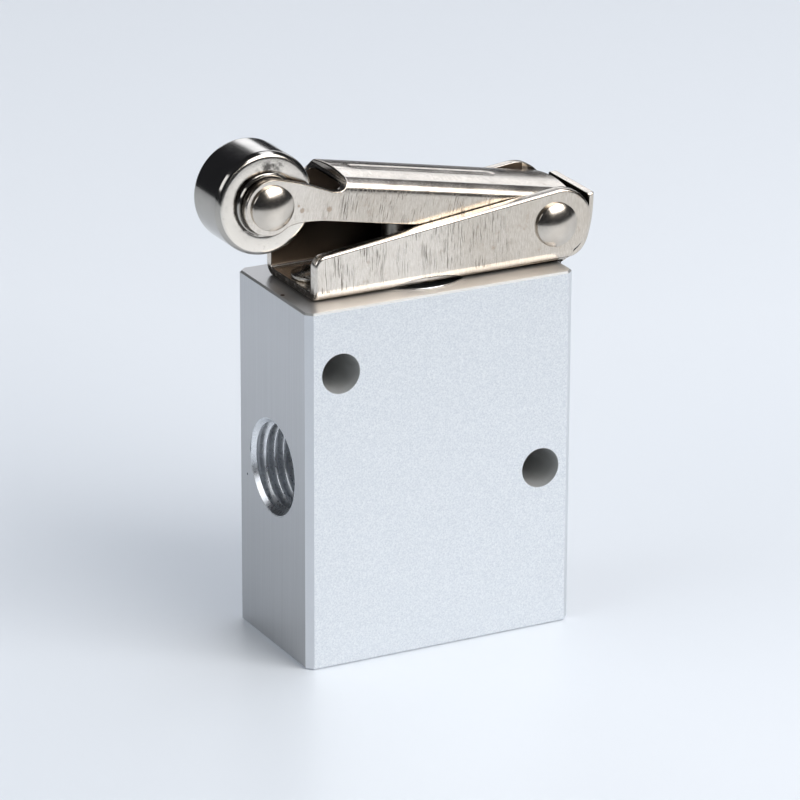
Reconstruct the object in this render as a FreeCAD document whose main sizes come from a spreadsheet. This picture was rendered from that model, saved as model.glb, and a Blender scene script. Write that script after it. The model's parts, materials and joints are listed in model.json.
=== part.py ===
import FreeCAD, Part
import os

import Sketcher

# Roller lever valve: an aluminium block with two threaded ports, a spring returned
# plunger and spool in its bore, and a pressed steel bracket that carries the lever.
# Millimetres. X runs between the two port faces, Y through the block, Z up.
# The origin is the centre of the block's bottom face, under the plunger's axis.

SIZES = [
    ("body_length", 39.5, "block, between its two port faces"),
    ("body_depth", 21.0, "block, front to back"),
    ("body_height", 50.0, "block, bottom to top"),
    ("body_chamfer", 0.9, "block's four upright edges"),
    ("end_chamfer", 0.25, "block's edges round its top and bottom"),
    ("mount_hole_radius", 2.75, "clearance for an M5 bolt"),
    ("mount_hole_inset", 4.85, "from the port face to the hole's axis"),
    ("mount_hole_upper", 41.2, "height of the left mounting hole"),
    ("mount_hole_lower", 22.9, "height of the right mounting hole"),
    ("port_radius", 6.58, "G1/4 thread, at its roots"),
    ("port_depth", 10.0, "threaded depth of a port"),
    ("port_chamfer", 0.12, "rim of a port"),
    ("outlet_height", 25.4, "axis of the outlet port, left"),
    ("supply_height", 12.0, "axis of the supply port, right"),
    ("passage_radius", 3.0, "drilling from a port to the bore"),
    ("bore_radius", 6.5, "main bore"),
    ("bore_floor", 3.0, "metal left under the main bore"),
    ("cap_bore_radius", 8.5, "counterbore for the plunger's guide"),
    ("cap_bore_depth", 9.0, "counterbore for the plunger's guide"),
    ("cap_bore_chamfer", 0.3, "counterbore's rim"),
    ("running_clearance", 0.05, "radial, where a piece turns or slides"),
    ("seat_clearance", 0.02, "radial, where a piece is fixed in another"),
    ("play", 0.05, "gap at a stop or a contact that opens in use"),
    ("sheet", 1.2, "steel of the bracket and of the lever"),
    ("bend_radius", 0.5, "inside of each bend in the steel"),
    ("bracket_width", 14.6, "over the bracket's two ears"),
    ("bracket_start", 17.0, "from the plunger's axis to the bracket's left end"),
    ("bracket_end", 20.25, "from the plunger's axis to the end of its base"),
    ("pivot_offset", 18.55, "from the plunger's axis to the pivot"),
    ("pivot_rise", 5.65, "pivot above the block"),
    ("ear_radius", 4.8, "bracket's ear round the pivot"),
    ("ear_slope", 6.8, "degrees, bracket's upper edge"),
    ("ear_corner", 1.6, "rounding of the ear's low corner"),
    ("base_hole_radius", 6.7, "hole in the bracket's base for the plunger"),
    ("tab_bend_start", 0.6, "flat of the stop tab beyond the base"),
    ("tab_bend_radius", 3.75, "outside of the stop tab's bend"),
    ("tab_lean", 8.0, "degrees, stop tab away from upright"),
    ("tab_height", 8.7, "stop tab above the block"),
    ("tab_gap", 0.3, "stop tab to each ear"),
    ("screw_offset", 13.85, "from the plunger's axis to a bracket screw"),
    ("screw_radius", 1.5, "M3 thread"),
    ("screw_length", 6.0, "under the screw's head"),
    ("screw_hole_spare", 0.6, "tapped hole below the screw's tip"),
    ("screw_hole_play", 0.2, "radial, screw in the bracket's base"),
    ("screw_head_radius", 2.8, "pan head"),
    ("screw_head_rim", 0.9, "pan head's upright side"),
    ("screw_head_dome", 0.9, "pan head's crown"),
    ("recess_length", 3.0, "cross recess, tip to tip"),
    ("recess_width", 0.7, "cross recess, one slot"),
    ("recess_depth", 1.2, "cross recess below the crown"),
    ("rivet_radius", 2.0, "shank of both rivets"),
    ("rivet_head_radius", 3.0, "head of both rivets"),
    ("rivet_head_rim", 0.4, "upright side of a rivet head"),
    ("rivet_head_dome", 0.85, "crown of a rivet head"),
    ("lever_arm", 41.6, "from the pivot to the roller"),
    ("lever_tilt", 10.85, "degrees, lever at rest"),
    ("lever_width", 11.2, "over the lever's two walls"),
    ("lever_top", 4.4, "lever's web above the line from pivot to roller"),
    ("lever_skirt", 1.5, "lever's walls below that line"),
    ("lever_web_start", 31.2, "from the pivot to the web's roller end"),
    ("lever_web_end", 4.4, "from the pivot to the web's stop end"),
    ("lever_pivot_radius", 4.0, "lever's wall round the pivot"),
    ("arm_eye_radius", 3.8, "lever's arm round the roller's rivet"),
    ("arm_taper", 9.1, "degrees, arm's upper edge"),
    ("arm_fillet", 1.2, "inside corner between arm and web"),
    ("eye_fillet", 3.0, "inside corner between eye and skirt"),
    ("roller_radius", 7.0, "roller"),
    ("roller_length", 7.8, "roller"),
    ("roller_edge", 0.6, "rounding of the roller's rims"),
    ("bush_radius", 3.0, "outside of the roller's bush"),
    ("bush_length", 8.2, "roller's bush"),
    ("stem_radius", 3.25, "plunger where it shows"),
    ("stem_dome", 0.69, "crown of the plunger"),
    ("collar_radius", 4.9, "plunger's collar, which stops against the guide"),
    ("collar_length", 2.0, "plunger's collar"),
    ("skirt_radius", 3.1, "plunger under its collar"),
    ("skirt_length", 2.5, "plunger under its collar"),
    ("guide_recess", 0.4, "guide's top below the block's top"),
    ("guide_edge", 0.5, "guide's upper rim"),
    ("guide_pocket_depth", 3.2, "room for the collar in the guide"),
    ("guide_pocket_play", 1.0, "radial, round the collar"),
    ("vent_radius", 0.7, "exhaust drilling in the guide"),
    ("vent_circle", 5.4, "radius of the ring of exhaust drillings"),
    ("seal_wire", 0.75, "section radius of the outer seals"),
    ("seal_squash", 0.1, "how far an outer seal's groove is wider than the seal"),
    ("sleeve_length", 28.0, "ported sleeve in the main bore"),
    ("sleeve_bore", 3.6, "radius of the spool's bore"),
    ("chamber_radius", 4.4, "sleeve's inner chambers"),
    ("annulus_radius", 5.4, "sleeve's outer grooves beside the ports"),
    ("annulus_inset", 0.2, "those grooves shorter than the chambers, at each end"),
    ("sleeve_lip", 0.55, "sleeve above its highest groove"),
    ("sleeve_hole_radius", 1.1, "radial drilling in the sleeve"),
    ("lower_seal_drop", 2.0, "lowest outer seal below the supply chamber"),
    ("upper_seal_rise", 1.2, "from the outlet chamber up to the highest outer seal"),
    ("spool_wire", 0.5, "section radius of the spool's seals"),
    ("spool_groove", 1.1, "width of the spool's seal grooves"),
    ("spool_waist", 2.0, "radius of the spool between its lands"),
    ("spool_neck", 2.2, "radius of the spool above its top land"),
    ("spool_spigot", 1.5, "radius of the spool's end in the plunger"),
    ("spool_spigot_length", 3.0, "spool's end in the plunger"),
    ("land_half", 1.2, "half height of a spool land"),
    ("seal_lap", 1.0, "a spool seal's distance past its edge at rest"),
    ("lower_lap", 1.6, "lowest spool seal below the supply chamber"),
    ("spool_end", 1.8, "spool below its lowest seal"),
    ("balance_radius", 0.8, "drilling along the spool"),
    ("balance_rise", 2.4, "cross drilling above the top seal"),
    ("balance_cross", 0.6, "radius of the cross drilling"),
    ("spring_radius", 4.3, "mean radius of the return spring"),
    ("spring_wire", 0.45, "radius of its wire"),
    ("spring_turns", 5.5, "turns of the return spring"),
]

doc = FreeCAD.newDocument("roller_lever_valve")
sheet = doc.addObject("Spreadsheet::Sheet", "sizes")
for row, (alias, number, note) in enumerate(SIZES, start=1):
    sheet.set("A%d" % row, alias)
    sheet.set("B%d" % row, str(number))
    sheet.set("C%d" % row, note)
    sheet.setAlias("B%d" % row, alias)
probe = doc.addObject("App::FeaturePython", "probe")
probe.addProperty("App::PropertyFloat", "reading")
doc.recompute()

# Heights and places that several pieces share, all from the sheet.
body_top = "sizes.body_height"
cap_floor = "(sizes.body_height - sizes.cap_bore_depth)"
guide_top = "(sizes.body_height - sizes.guide_recess)"
collar_stop = "(%s + sizes.guide_pocket_depth)" % cap_floor
collar_top = "(%s - sizes.play)" % collar_stop
collar_under = "(%s - sizes.collar_length)" % collar_top
skirt_under = "(%s - sizes.skirt_length)" % collar_under
sleeve_top = "(sizes.bore_floor + sizes.sleeve_length)"
supply_low = "(sizes.supply_height - sizes.passage_radius)"
supply_high = "(sizes.supply_height + sizes.passage_radius)"
outlet_low = "(sizes.outlet_height - sizes.passage_radius)"
upper_seal = "(%s - sizes.sleeve_lip - sizes.seal_wire - sizes.seal_squash)" % sleeve_top
outlet_high = "(%s - sizes.upper_seal_rise)" % upper_seal
outlet_middle = "((%s + %s) / 2)" % (outlet_low, outlet_high)
pivot_height = "(sizes.body_height + sizes.pivot_rise)"
roller_x = "(sizes.pivot_offset - sizes.lever_arm * cos(sizes.lever_tilt))"
roller_z = "(%s + sizes.lever_arm * sin(sizes.lever_tilt))" % pivot_height
web_under = "(sizes.lever_top - sizes.sheet)"
dome_radius = "((sizes.stem_radius ^ 2 + sizes.stem_dome ^ 2) / (2 * sizes.stem_dome))"
plunger_top = (
    "(%s + sizes.pivot_offset * tan(sizes.lever_tilt)"
    " + %s / cos(sizes.lever_tilt)"
    " - %s * (1 / cos(sizes.lever_tilt) - 1) - sizes.play)"
) % (pivot_height, web_under, dome_radius)
spool_seals = {
    "lower": "(%s - sizes.lower_lap)" % supply_low,
    "middle": "(%s + sizes.seal_lap)" % supply_high,
    "upper": "(%s + sizes.seal_lap)" % sleeve_top,
}
sleeve_seals = {
    "lower": "(%s - sizes.lower_seal_drop)" % supply_low,
    "middle": "((sizes.supply_height + sizes.outlet_height) / 2)",
    "upper": upper_seal,
}
guide_seal = "((%s + %s) / 2)" % (collar_stop, guide_top)
groove_half = "(sizes.seal_wire + sizes.seal_squash)"

parts = []


def reading(expression):
    """The number that an expression on the sheet gives."""
    probe.setExpression("reading", expression)
    probe.recompute()
    return probe.reading


def settle(feature):
    """Recompute, and stop where the new feature failed."""
    doc.recompute()
    if "Invalid" in feature.State or feature.Shape.isNull():
        raise RuntimeError("%s failed in %s" % (feature.Name, feature.getParentGeoFeatureGroup().Label))
    return feature


def new_body(label):
    body = doc.addObject("PartDesign::Body", label)
    parts.append(body)
    return body


def place(piece, x="0", y="0", z="0", axis=None, angle=None):
    """Bind a piece's place, and its turn about an axis, to the sheet."""
    if axis:
        turn = FreeCAD.Rotation(FreeCAD.Vector(*axis), reading(angle))
        piece.Placement = FreeCAD.Placement(FreeCAD.Vector(), turn)
        piece.setExpression("Placement.Rotation.Angle", angle)
    piece.setExpression("Placement.Base.x", x)
    piece.setExpression("Placement.Base.y", y)
    piece.setExpression("Placement.Base.z", z)
    doc.recompute()


def origin_feature(body, role):
    return [item for item in body.Origin.OriginFeatures if item.Role == role][0]


def new_sketch(body, name, role, offset=None):
    """A sketch on one of the body's own planes, moved along its normal by offset."""
    sketch = body.newObject("Sketcher::SketchObject", name)
    sketch.AttachmentSupport = (origin_feature(body, role), "")
    sketch.MapMode = "FlatFace"
    if offset:
        sketch.setExpression(".AttachmentOffset.Base.z", offset)
    return sketch


def bind_point(sketch, geometry, position, x, y):
    """Hold a sketch point at two coordinates; one that is None stays free."""
    for kind, expression in (("DistanceX", x), ("DistanceY", y)):
        if expression is None:
            continue
        number = reading(expression)
        rule = Sketcher.Constraint(kind, -1, 1, geometry, position, number)
        index = sketch.addConstraint(rule)
        name = "%s%d" % (kind[-1].lower(), index)
        sketch.renameConstraint(index, name)
        sketch.setExpression("Constraints." + name, expression)


def outline(body, name, role, corners, offset=None):
    """A closed outline. A corner is (x, y), or (x, y, (centre x, centre y), turn) where
    an arc leads on to the next corner, turning "left" or "right" about the centre."""
    sketch = new_sketch(body, name, role, offset)
    spots = [FreeCAD.Vector(reading(corner[0]), reading(corner[1]), 0) for corner in corners]
    upright = FreeCAD.Vector(0, 0, 1)
    segments = []
    for index, corner in enumerate(corners):
        start = spots[index]
        end = spots[(index + 1) % len(spots)]
        if len(corner) == 2:
            segments.append((sketch.addGeometry(Part.LineSegment(start, end), False), 1, 2))
            continue
        middle = FreeCAD.Vector(reading(corner[2][0]), reading(corner[2][1]), 0)
        circle = Part.Circle(middle, upright, (start - middle).Length)
        if corner[3] == "left":
            arc = Part.ArcOfCircle(circle, circle.parameter(start), circle.parameter(end))
            segments.append((sketch.addGeometry(arc, False), 1, 2))
        else:
            arc = Part.ArcOfCircle(circle, circle.parameter(end), circle.parameter(start))
            segments.append((sketch.addGeometry(arc, False), 2, 1))
    for index, (geometry, begin, finish) in enumerate(segments):
        corner = corners[index]
        following = segments[(index + 1) % len(segments)]
        rule = Sketcher.Constraint("Coincident", geometry, finish, following[0], following[1])
        sketch.addConstraint(rule)
        bind_point(sketch, geometry, begin, corner[0], corner[1])
        if len(corner) > 2:
            bind_point(sketch, geometry, 3, corner[2][0], None)
    doc.recompute()
    return sketch


def circle_sketch(body, name, role, x, y, radius, offset=None):
    sketch = new_sketch(body, name, role, offset)
    centre = FreeCAD.Vector(reading(x), reading(y), 0)
    ring = Part.Circle(centre, FreeCAD.Vector(0, 0, 1), reading(radius))
    geometry = sketch.addGeometry(ring, False)
    bind_point(sketch, geometry, 3, x, y)
    rule = Sketcher.Constraint("Radius", geometry, reading(radius))
    index = sketch.addConstraint(rule)
    sketch.renameConstraint(index, "radius")
    sketch.setExpression("Constraints.radius", radius)
    doc.recompute()
    return sketch


def pad(body, name, sketch, length):
    """Thicken a sketch by the same amount to both sides of its plane."""
    feature = body.newObject("PartDesign::Pad", name)
    feature.Profile = sketch
    feature.SideType = "Symmetric"
    feature.setExpression("Length", length)
    return settle(feature)


def pocket(body, name, sketch, depth=None, backwards=False):
    """Cut a sketch's shape into the body: to a depth, or right through both ways."""
    before = body.Shape.Volume
    feature = body.newObject("PartDesign::Pocket", name)
    feature.Profile = sketch
    if depth is None:
        feature.SideType = "Symmetric"
        feature.Type = "ThroughAll"
    else:
        feature.Reversed = backwards
        feature.setExpression("Length", depth)
    settle(feature)
    if not body.Shape.Volume < before:
        raise RuntimeError(name + " cuts nothing")
    return feature


def revolve(body, name, corners):
    """Turn an outline of (radius, height) corners round the body's upright axis."""
    sketch = outline(body, name + "_profile", "XZ_Plane", corners)
    feature = body.newObject("PartDesign::Revolution", name)
    feature.Profile = sketch
    feature.ReferenceAxis = (origin_feature(body, "Z_Axis"), [""])
    feature.Angle = 360
    return settle(feature)


def repeat_round(body, name, feature, count, span="360"):
    """Repeat a feature round the body's upright axis."""
    pattern = body.newObject("PartDesign::PolarPattern", name)
    pattern.Originals = [feature]
    pattern.Axis = (origin_feature(body, "Z_Axis"), [""])
    pattern.setExpression("Angle", span)
    pattern.Occurrences = count
    body.Tip = pattern
    return settle(pattern)


def edges_at(feature, spots):
    """The names of the edges whose middles are nearest to the given points."""
    names = []
    edges = feature.Shape.Edges
    for spot in spots:
        target = FreeCAD.Vector(*[reading(item) for item in spot])
        gaps = [(edge.CenterOfMass - target).Length for edge in edges]
        names.append("Edge%d" % (gaps.index(min(gaps)) + 1))
    return names


def edges_in_plane(feature, height):
    """The names of the edges that lie flat at one height."""
    level = reading(height)
    names = []
    for index, edge in enumerate(feature.Shape.Edges, start=1):
        box = edge.BoundBox
        if abs(box.ZMin - level) < 1e-4 and abs(box.ZMax - level) < 1e-4:
            names.append("Edge%d" % index)
    return names


def edges_round(feature, centre, radius):
    """The names of the full circles of one radius about one point."""
    target = FreeCAD.Vector(*[reading(item) for item in centre])
    wanted = reading(radius)
    names = []
    for index, edge in enumerate(feature.Shape.Edges, start=1):
        if not isinstance(edge.Curve, Part.Circle):
            continue
        near = (edge.Curve.Center - target).Length < 1e-4
        if near and abs(edge.Curve.Radius - wanted) < 1e-4:
            names.append("Edge%d" % index)
    return names


def soften(body, kind, name, feature, names, size):
    """Fillet or chamfer named edges of a feature."""
    softened = body.newObject("PartDesign::" + kind, name)
    softened.Base = (feature, names)
    softened.setExpression("Radius" if kind == "Fillet" else "Size", size)
    return settle(softened)


def drill(body, name, role, x, y, radius, offset=None, depth=None, backwards=False):
    sketch = circle_sketch(body, name + "_circle", role, x, y, radius, offset)
    return pocket(body, name, sketch, depth, backwards)


def rectangle(left, right, low, high):
    return [(left, low), (right, low), (right, high), (left, high)]


def groove(radius, floor, middle, half):
    """Four corners of a groove, from its lower edge up, in an outline's outer side."""
    low = "%s - %s" % (middle, half)
    high = "%s + %s" % (middle, half)
    return [(radius, low), (floor, low), (floor, high), (radius, high)]


def torus(label, radius, wire, height):
    ring = doc.addObject("Part::Torus", label)
    ring.setExpression("Radius1", radius)
    ring.setExpression("Radius2", wire)
    place(ring, z=height)
    parts.append(ring)


def make_valve_body():
    body = new_body("valve_body")
    half_x = "sizes.body_length / 2"
    half_y = "sizes.body_depth / 2"
    sides = rectangle("-" + half_x, half_x, "-" + half_y, half_y)
    base = outline(body, "block_outline", "XY_Plane", sides, "sizes.body_height / 2")
    block = pad(body, "block", base, body_top)
    signs = ("-", "")
    corners = [(across + half_x, deep + half_y) for across in signs for deep in signs]
    upright = edges_at(block, [corner + ("sizes.body_height / 2",) for corner in corners])
    softened = soften(body, "Chamfer", "upright_edges", block, upright, "sizes.body_chamfer")
    rims = edges_in_plane(softened, body_top) + edges_in_plane(softened, "0")
    soften(body, "Chamfer", "end_edges", softened, rims, "sizes.end_chamfer")
    bore_depth = "sizes.body_height - sizes.bore_floor"
    drill(body, "main_bore", "XY_Plane", "0", "0", "sizes.bore_radius", body_top, bore_depth)
    drill(body, "cap_bore", "XY_Plane", "0", "0", "sizes.cap_bore_radius", body_top,
          "sizes.cap_bore_depth")
    ports = (("outlet", "sizes.outlet_height", "-"), ("supply", "sizes.supply_height", ""))
    for name, height, side in ports:
        face = side + half_x
        inward = side == "-"
        drill(body, name + "_port", "YZ_Plane", "0", height, "sizes.port_radius", face,
              "sizes.port_depth", inward)
        drill(body, name + "_passage", "YZ_Plane", "0", height, "sizes.passage_radius", face,
              "sizes.body_length / 2", inward)
    mount_holes = (("left", "-", "sizes.mount_hole_upper"), ("right", "", "sizes.mount_hole_lower"))
    for name, side, height in mount_holes:
        across = side + "(sizes.body_length / 2 - sizes.mount_hole_inset)"
        drill(body, name + "_mount_hole", "XZ_Plane", across, height, "sizes.mount_hole_radius")
    hole_depth = "sizes.screw_length - sizes.sheet + sizes.screw_hole_spare"
    for name, side in (("left", "-"), ("right", "")):
        last = drill(body, name + "_screw_hole", "XY_Plane", side + "sizes.screw_offset", "0",
                     "sizes.screw_radius", body_top, hole_depth)
    rim = edges_round(last, ("0", "0", body_top), "sizes.cap_bore_radius")
    last = soften(body, "Chamfer", "cap_bore_rim", last, rim, "sizes.cap_bore_chamfer")
    mouths = edges_round(last, ("-" + half_x, "0", "sizes.outlet_height"), "sizes.port_radius")
    mouths += edges_round(last, (half_x, "0", "sizes.supply_height"), "sizes.port_radius")
    soften(body, "Chamfer", "port_rims", last, mouths, "sizes.port_chamfer")


def make_guide():
    body = new_body("plunger_guide")
    outer = "sizes.cap_bore_radius - sizes.seat_clearance"
    inner = "sizes.stem_radius + sizes.running_clearance"
    pocket_radius = "sizes.collar_radius + sizes.guide_pocket_play"
    floor = "sizes.cap_bore_radius - 2 * sizes.seal_wire - sizes.seat_clearance"
    corners = [(pocket_radius, cap_floor), (outer, cap_floor)]
    corners += groove(outer, floor, guide_seal, groove_half)
    corners += [
        (outer, guide_top + " - sizes.guide_edge"),
        (outer + " - sizes.guide_edge", guide_top),
        (inner, guide_top),
        (inner, collar_stop),
        (pocket_radius, collar_stop),
    ]
    revolve(body, "guide_ring", corners)
    vent = drill(body, "vent", "XY_Plane", "sizes.vent_circle", "0", "sizes.vent_radius")
    repeat_round(body, "vents", vent, 4)


def make_sleeve():
    body = new_body("valve_sleeve")
    outer = "sizes.bore_radius - sizes.seat_clearance"
    floor = "sizes.bore_radius - 2 * sizes.seal_wire - sizes.seat_clearance"
    corners = [("sizes.sleeve_bore", "sizes.bore_floor"), (outer, "sizes.bore_floor")]
    corners += groove(outer, floor, sleeve_seals["lower"], groove_half)
    supply_half = "(sizes.passage_radius - sizes.annulus_inset)"
    corners += groove(outer, "sizes.annulus_radius", "sizes.supply_height", supply_half)
    corners += groove(outer, floor, sleeve_seals["middle"], groove_half)
    outlet_half = "((%s - %s) / 2 - sizes.annulus_inset)" % (outlet_high, outlet_low)
    corners += groove(outer, "sizes.annulus_radius", outlet_middle, outlet_half)
    corners += groove(outer, floor, sleeve_seals["upper"], groove_half)
    corners += [(outer, sleeve_top), ("sizes.sleeve_bore", sleeve_top)]
    for low, high in ((outlet_low, outlet_high), (supply_low, supply_high)):
        corners += [
            ("sizes.sleeve_bore", high),
            ("sizes.chamber_radius", high),
            ("sizes.chamber_radius", low),
            ("sizes.sleeve_bore", low),
        ]
    revolve(body, "sleeve_tube", corners)
    for name, height in (("supply", "sizes.supply_height"), ("outlet", outlet_middle)):
        hole = drill(body, name + "_hole", "YZ_Plane", "0", height, "sizes.sleeve_hole_radius")
        repeat_round(body, name + "_holes", hole, 3, "120")


def make_seals():
    for name, height in sleeve_seals.items():
        torus("sleeve_seal_" + name, "sizes.bore_radius - sizes.seal_wire - sizes.seat_clearance / 2",
              "sizes.seal_wire", height)
    for name, height in spool_seals.items():
        torus("spool_seal_" + name, "sizes.sleeve_bore - sizes.spool_wire - sizes.seat_clearance",
              "sizes.spool_wire", height)
    torus("guide_seal", "sizes.cap_bore_radius - sizes.seal_wire - sizes.seat_clearance / 2",
          "sizes.seal_wire", guide_seal)


def make_spool():
    body = new_body("spool")
    land = "sizes.sleeve_bore - sizes.running_clearance"
    floor = "sizes.sleeve_bore - 2 * sizes.spool_wire - 2 * sizes.seat_clearance"
    half = "sizes.spool_groove / 2"
    end = spool_seals["lower"] + " - sizes.spool_end"
    corners = [("sizes.balance_radius", end), (land, end)]
    corners += groove(land, floor, spool_seals["lower"], half)
    corners += [
        (land, spool_seals["lower"] + " + sizes.land_half"),
        ("sizes.spool_waist", spool_seals["lower"] + " + sizes.land_half"),
        ("sizes.spool_waist", spool_seals["middle"] + " - sizes.land_half"),
        (land, spool_seals["middle"] + " - sizes.land_half"),
    ]
    corners += groove(land, floor, spool_seals["middle"], half)
    corners += [
        (land, spool_seals["middle"] + " + sizes.land_half"),
        ("sizes.spool_waist", spool_seals["middle"] + " + sizes.land_half"),
        ("sizes.spool_waist", spool_seals["upper"] + " - sizes.land_half"),
        (land, spool_seals["upper"] + " - sizes.land_half"),
    ]
    corners += groove(land, floor, spool_seals["upper"], half)
    drilled = spool_seals["upper"] + " + sizes.balance_rise"
    corners += [
        (land, spool_seals["upper"] + " + sizes.land_half"),
        ("sizes.spool_neck", spool_seals["upper"] + " + sizes.land_half"),
        ("sizes.spool_neck", skirt_under),
        ("sizes.spool_spigot", skirt_under),
        ("sizes.spool_spigot", skirt_under + " + sizes.spool_spigot_length"),
        ("0", skirt_under + " + sizes.spool_spigot_length"),
        ("0", drilled),
        ("sizes.balance_radius", drilled),
    ]
    revolve(body, "spool_bar", corners)
    height = drilled + " - sizes.balance_radius"
    drill(body, "cross_drilling", "YZ_Plane", "0", height, "sizes.balance_cross")


def make_plunger():
    body = new_body("plunger")
    socket = "sizes.spool_spigot + sizes.seat_clearance"
    socket_top = skirt_under + " + sizes.spool_spigot_length + sizes.play"
    crown = plunger_top + " - " + dome_radius
    corners = [
        (socket, skirt_under),
        ("sizes.skirt_radius", skirt_under),
        ("sizes.skirt_radius", collar_under),
        ("sizes.collar_radius", collar_under),
        ("sizes.collar_radius", collar_top),
        ("sizes.stem_radius", collar_top),
        ("sizes.stem_radius", plunger_top + " - sizes.stem_dome", ("0", crown), "left"),
        ("0", plunger_top),
        ("0", socket_top),
        (socket, socket_top),
    ]
    revolve(body, "plunger_bar", corners)


def make_spring():
    """Round wire on a helix, from the sleeve's top to the plunger's collar."""
    length = "(%s - %s - 2 * sizes.spring_wire - 2 * sizes.play)" % (collar_under, sleeve_top)
    coil = doc.addObject("Part::Helix", "spring_path")
    coil.setExpression("Radius", "sizes.spring_radius")
    coil.setExpression("Height", length)
    coil.setExpression("Pitch", length + " / sizes.spring_turns")
    wire = doc.addObject("Part::Circle", "spring_wire_section")
    wire.setExpression("Radius", "sizes.spring_wire")
    place(wire, x="sizes.spring_radius", axis=(1, 0, 0), angle="90")
    spring = doc.addObject("Part::Sweep", "return_spring")
    spring.Sections = [wire]
    spring.Spine = (coil, [])
    spring.Solid = True
    spring.Frenet = True
    place(spring, z=sleeve_top + " + sizes.spring_wire + sizes.play")
    parts.append(spring)


def make_bracket():
    """A channel bent from sheet: two ears, a base, and a tab bent up behind the pivot."""
    body = new_body("bracket")
    left = "-sizes.bracket_start"
    reach = "(sizes.pivot_offset + sizes.bracket_start)"
    high_top = "sizes.pivot_rise + sizes.ear_radius / cos(sizes.ear_slope)"
    low_top = high_top + " - %s * tan(sizes.ear_slope)" % reach
    side = [
        (left, "0"),
        ("sizes.bracket_end", "0"),
        ("sizes.bracket_end", "sizes.pivot_rise"),
        ("sizes.pivot_offset", "sizes.pivot_rise"),
        ("sizes.pivot_offset - sizes.ear_radius * sin(sizes.ear_slope)",
         "sizes.pivot_rise + sizes.ear_radius * cos(sizes.ear_slope)"),
        (left, low_top),
    ]
    pad(body, "ear_plate", outline(body, "ear_outline", "XZ_Plane", side), "sizes.bracket_width")
    round_end = circle_sketch(
        body, "ear_end_circle", "XZ_Plane", "sizes.pivot_offset", "sizes.pivot_rise", "sizes.ear_radius"
    )
    whole = pad(body, "ear_end", round_end, "sizes.bracket_width")
    corner = edges_at(whole, [(left, "0", low_top)])
    soften(body, "Fillet", "ear_corners", whole, corner, "sizes.ear_corner")
    inner = "(sizes.bracket_width / 2 - sizes.sheet)"
    ceiling = "sizes.pivot_rise + 2 * sizes.ear_radius"
    gap = rectangle("-" + inner, inner, "sizes.sheet", ceiling)
    folded = pocket(body, "channel", outline(body, "channel_outline", "YZ_Plane", gap))
    middle = "(sizes.bracket_end - sizes.bracket_start) / 2"
    inside = edges_at(folded, [(middle, sign + inner, "sizes.sheet") for sign in ("-", "")])
    folded = soften(body, "Fillet", "inner_bends", folded, inside, "sizes.bend_radius")
    outside = edges_at(folded, [(middle, sign + "sizes.bracket_width / 2", "0") for sign in ("-", "")])
    soften(body, "Fillet", "outer_bends", folded, outside, "sizes.bend_radius + sizes.sheet")
    make_stop_tab(body)
    drill(body, "plunger_opening", "XY_Plane", "0", "0", "sizes.base_hole_radius",
          "sizes.sheet + sizes.bend_radius", "sizes.sheet + 2 * sizes.bend_radius")
    for name, sign in (("left", "-"), ("right", "")):
        drill(body, name + "_screw_opening", "XY_Plane", sign + "sizes.screw_offset", "0",
              "sizes.screw_radius + sizes.screw_hole_play")
    drill(body, "pivot_hole", "XZ_Plane", "sizes.pivot_offset", "sizes.pivot_rise",
          "sizes.rivet_radius + sizes.seat_clearance")
    place(body, z=body_top)


def make_stop_tab(body):
    """The end of the base, rolled up behind the lever."""
    start = "(sizes.bracket_end + sizes.tab_bend_start)"
    root = "(sizes.bracket_end - sizes.sheet)"
    outer = "sizes.tab_bend_radius"
    inner = "(sizes.tab_bend_radius - sizes.sheet)"
    slope = "sizes.tab_lean"
    outer_end = ("(%s + %s * cos(%s))" % (start, outer, slope), "%s * (1 - sin(%s))" % (outer, slope))
    inner_end = (
        "%s + %s * cos(%s)" % (start, inner, slope),
        "%s - %s * sin(%s)" % (outer, inner, slope),
    )
    rise = "(sizes.tab_height - %s)" % outer_end[1]
    tip = "(%s + %s * tan(%s))" % (outer_end[0], rise, slope)
    corners = [
        (root, "0"),
        (start, "0", (start, outer), "left"),
        outer_end,
        (tip, "sizes.tab_height"),
        ("%s - sizes.sheet * cos(%s)" % (tip, slope),
         "sizes.tab_height + sizes.sheet * sin(%s)" % slope),
        inner_end + ((start, outer), "right"),
        (start, "sizes.sheet"),
        (root, "sizes.sheet"),
    ]
    width = "sizes.bracket_width - 2 * sizes.sheet - 2 * sizes.tab_gap"
    pad(body, "stop_tab", outline(body, "tab_outline", "XZ_Plane", corners), width)


def make_bracket_screws():
    """Two pan head screws with cross recesses, through the bracket's base."""
    seat = "sizes.sheet"
    crown = "(%s + sizes.screw_head_rim + sizes.screw_head_dome)" % seat
    shank = "sizes.screw_radius - sizes.seat_clearance"
    tip = "%s - sizes.screw_length" % seat
    head = "sizes.screw_head_radius"
    dome = "((%s ^ 2 + sizes.screw_head_dome ^ 2) / (2 * sizes.screw_head_dome))" % head
    corners = [
        ("0", tip),
        (shank, tip),
        (shank, seat),
        (head, seat),
        (head, seat + " + sizes.screw_head_rim", ("0", crown + " - " + dome), "left"),
        ("0", crown),
    ]
    half = "sizes.recess_length / 2"
    slot_half = "sizes.recess_width / 2"
    for name, sign in (("left", "-"), ("right", "")):
        body = new_body("bracket_screw_" + name)
        revolve(body, "screw", corners)
        sides = rectangle("-" + half, half, "-" + slot_half, slot_half)
        slot = outline(body, "slot_outline", "XY_Plane", sides, crown)
        cut = pocket(body, "slot", slot, "sizes.recess_depth")
        repeat_round(body, "cross_recess", cut, 2, "90")
        place(body, x=sign + "sizes.screw_offset", z=body_top)


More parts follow.
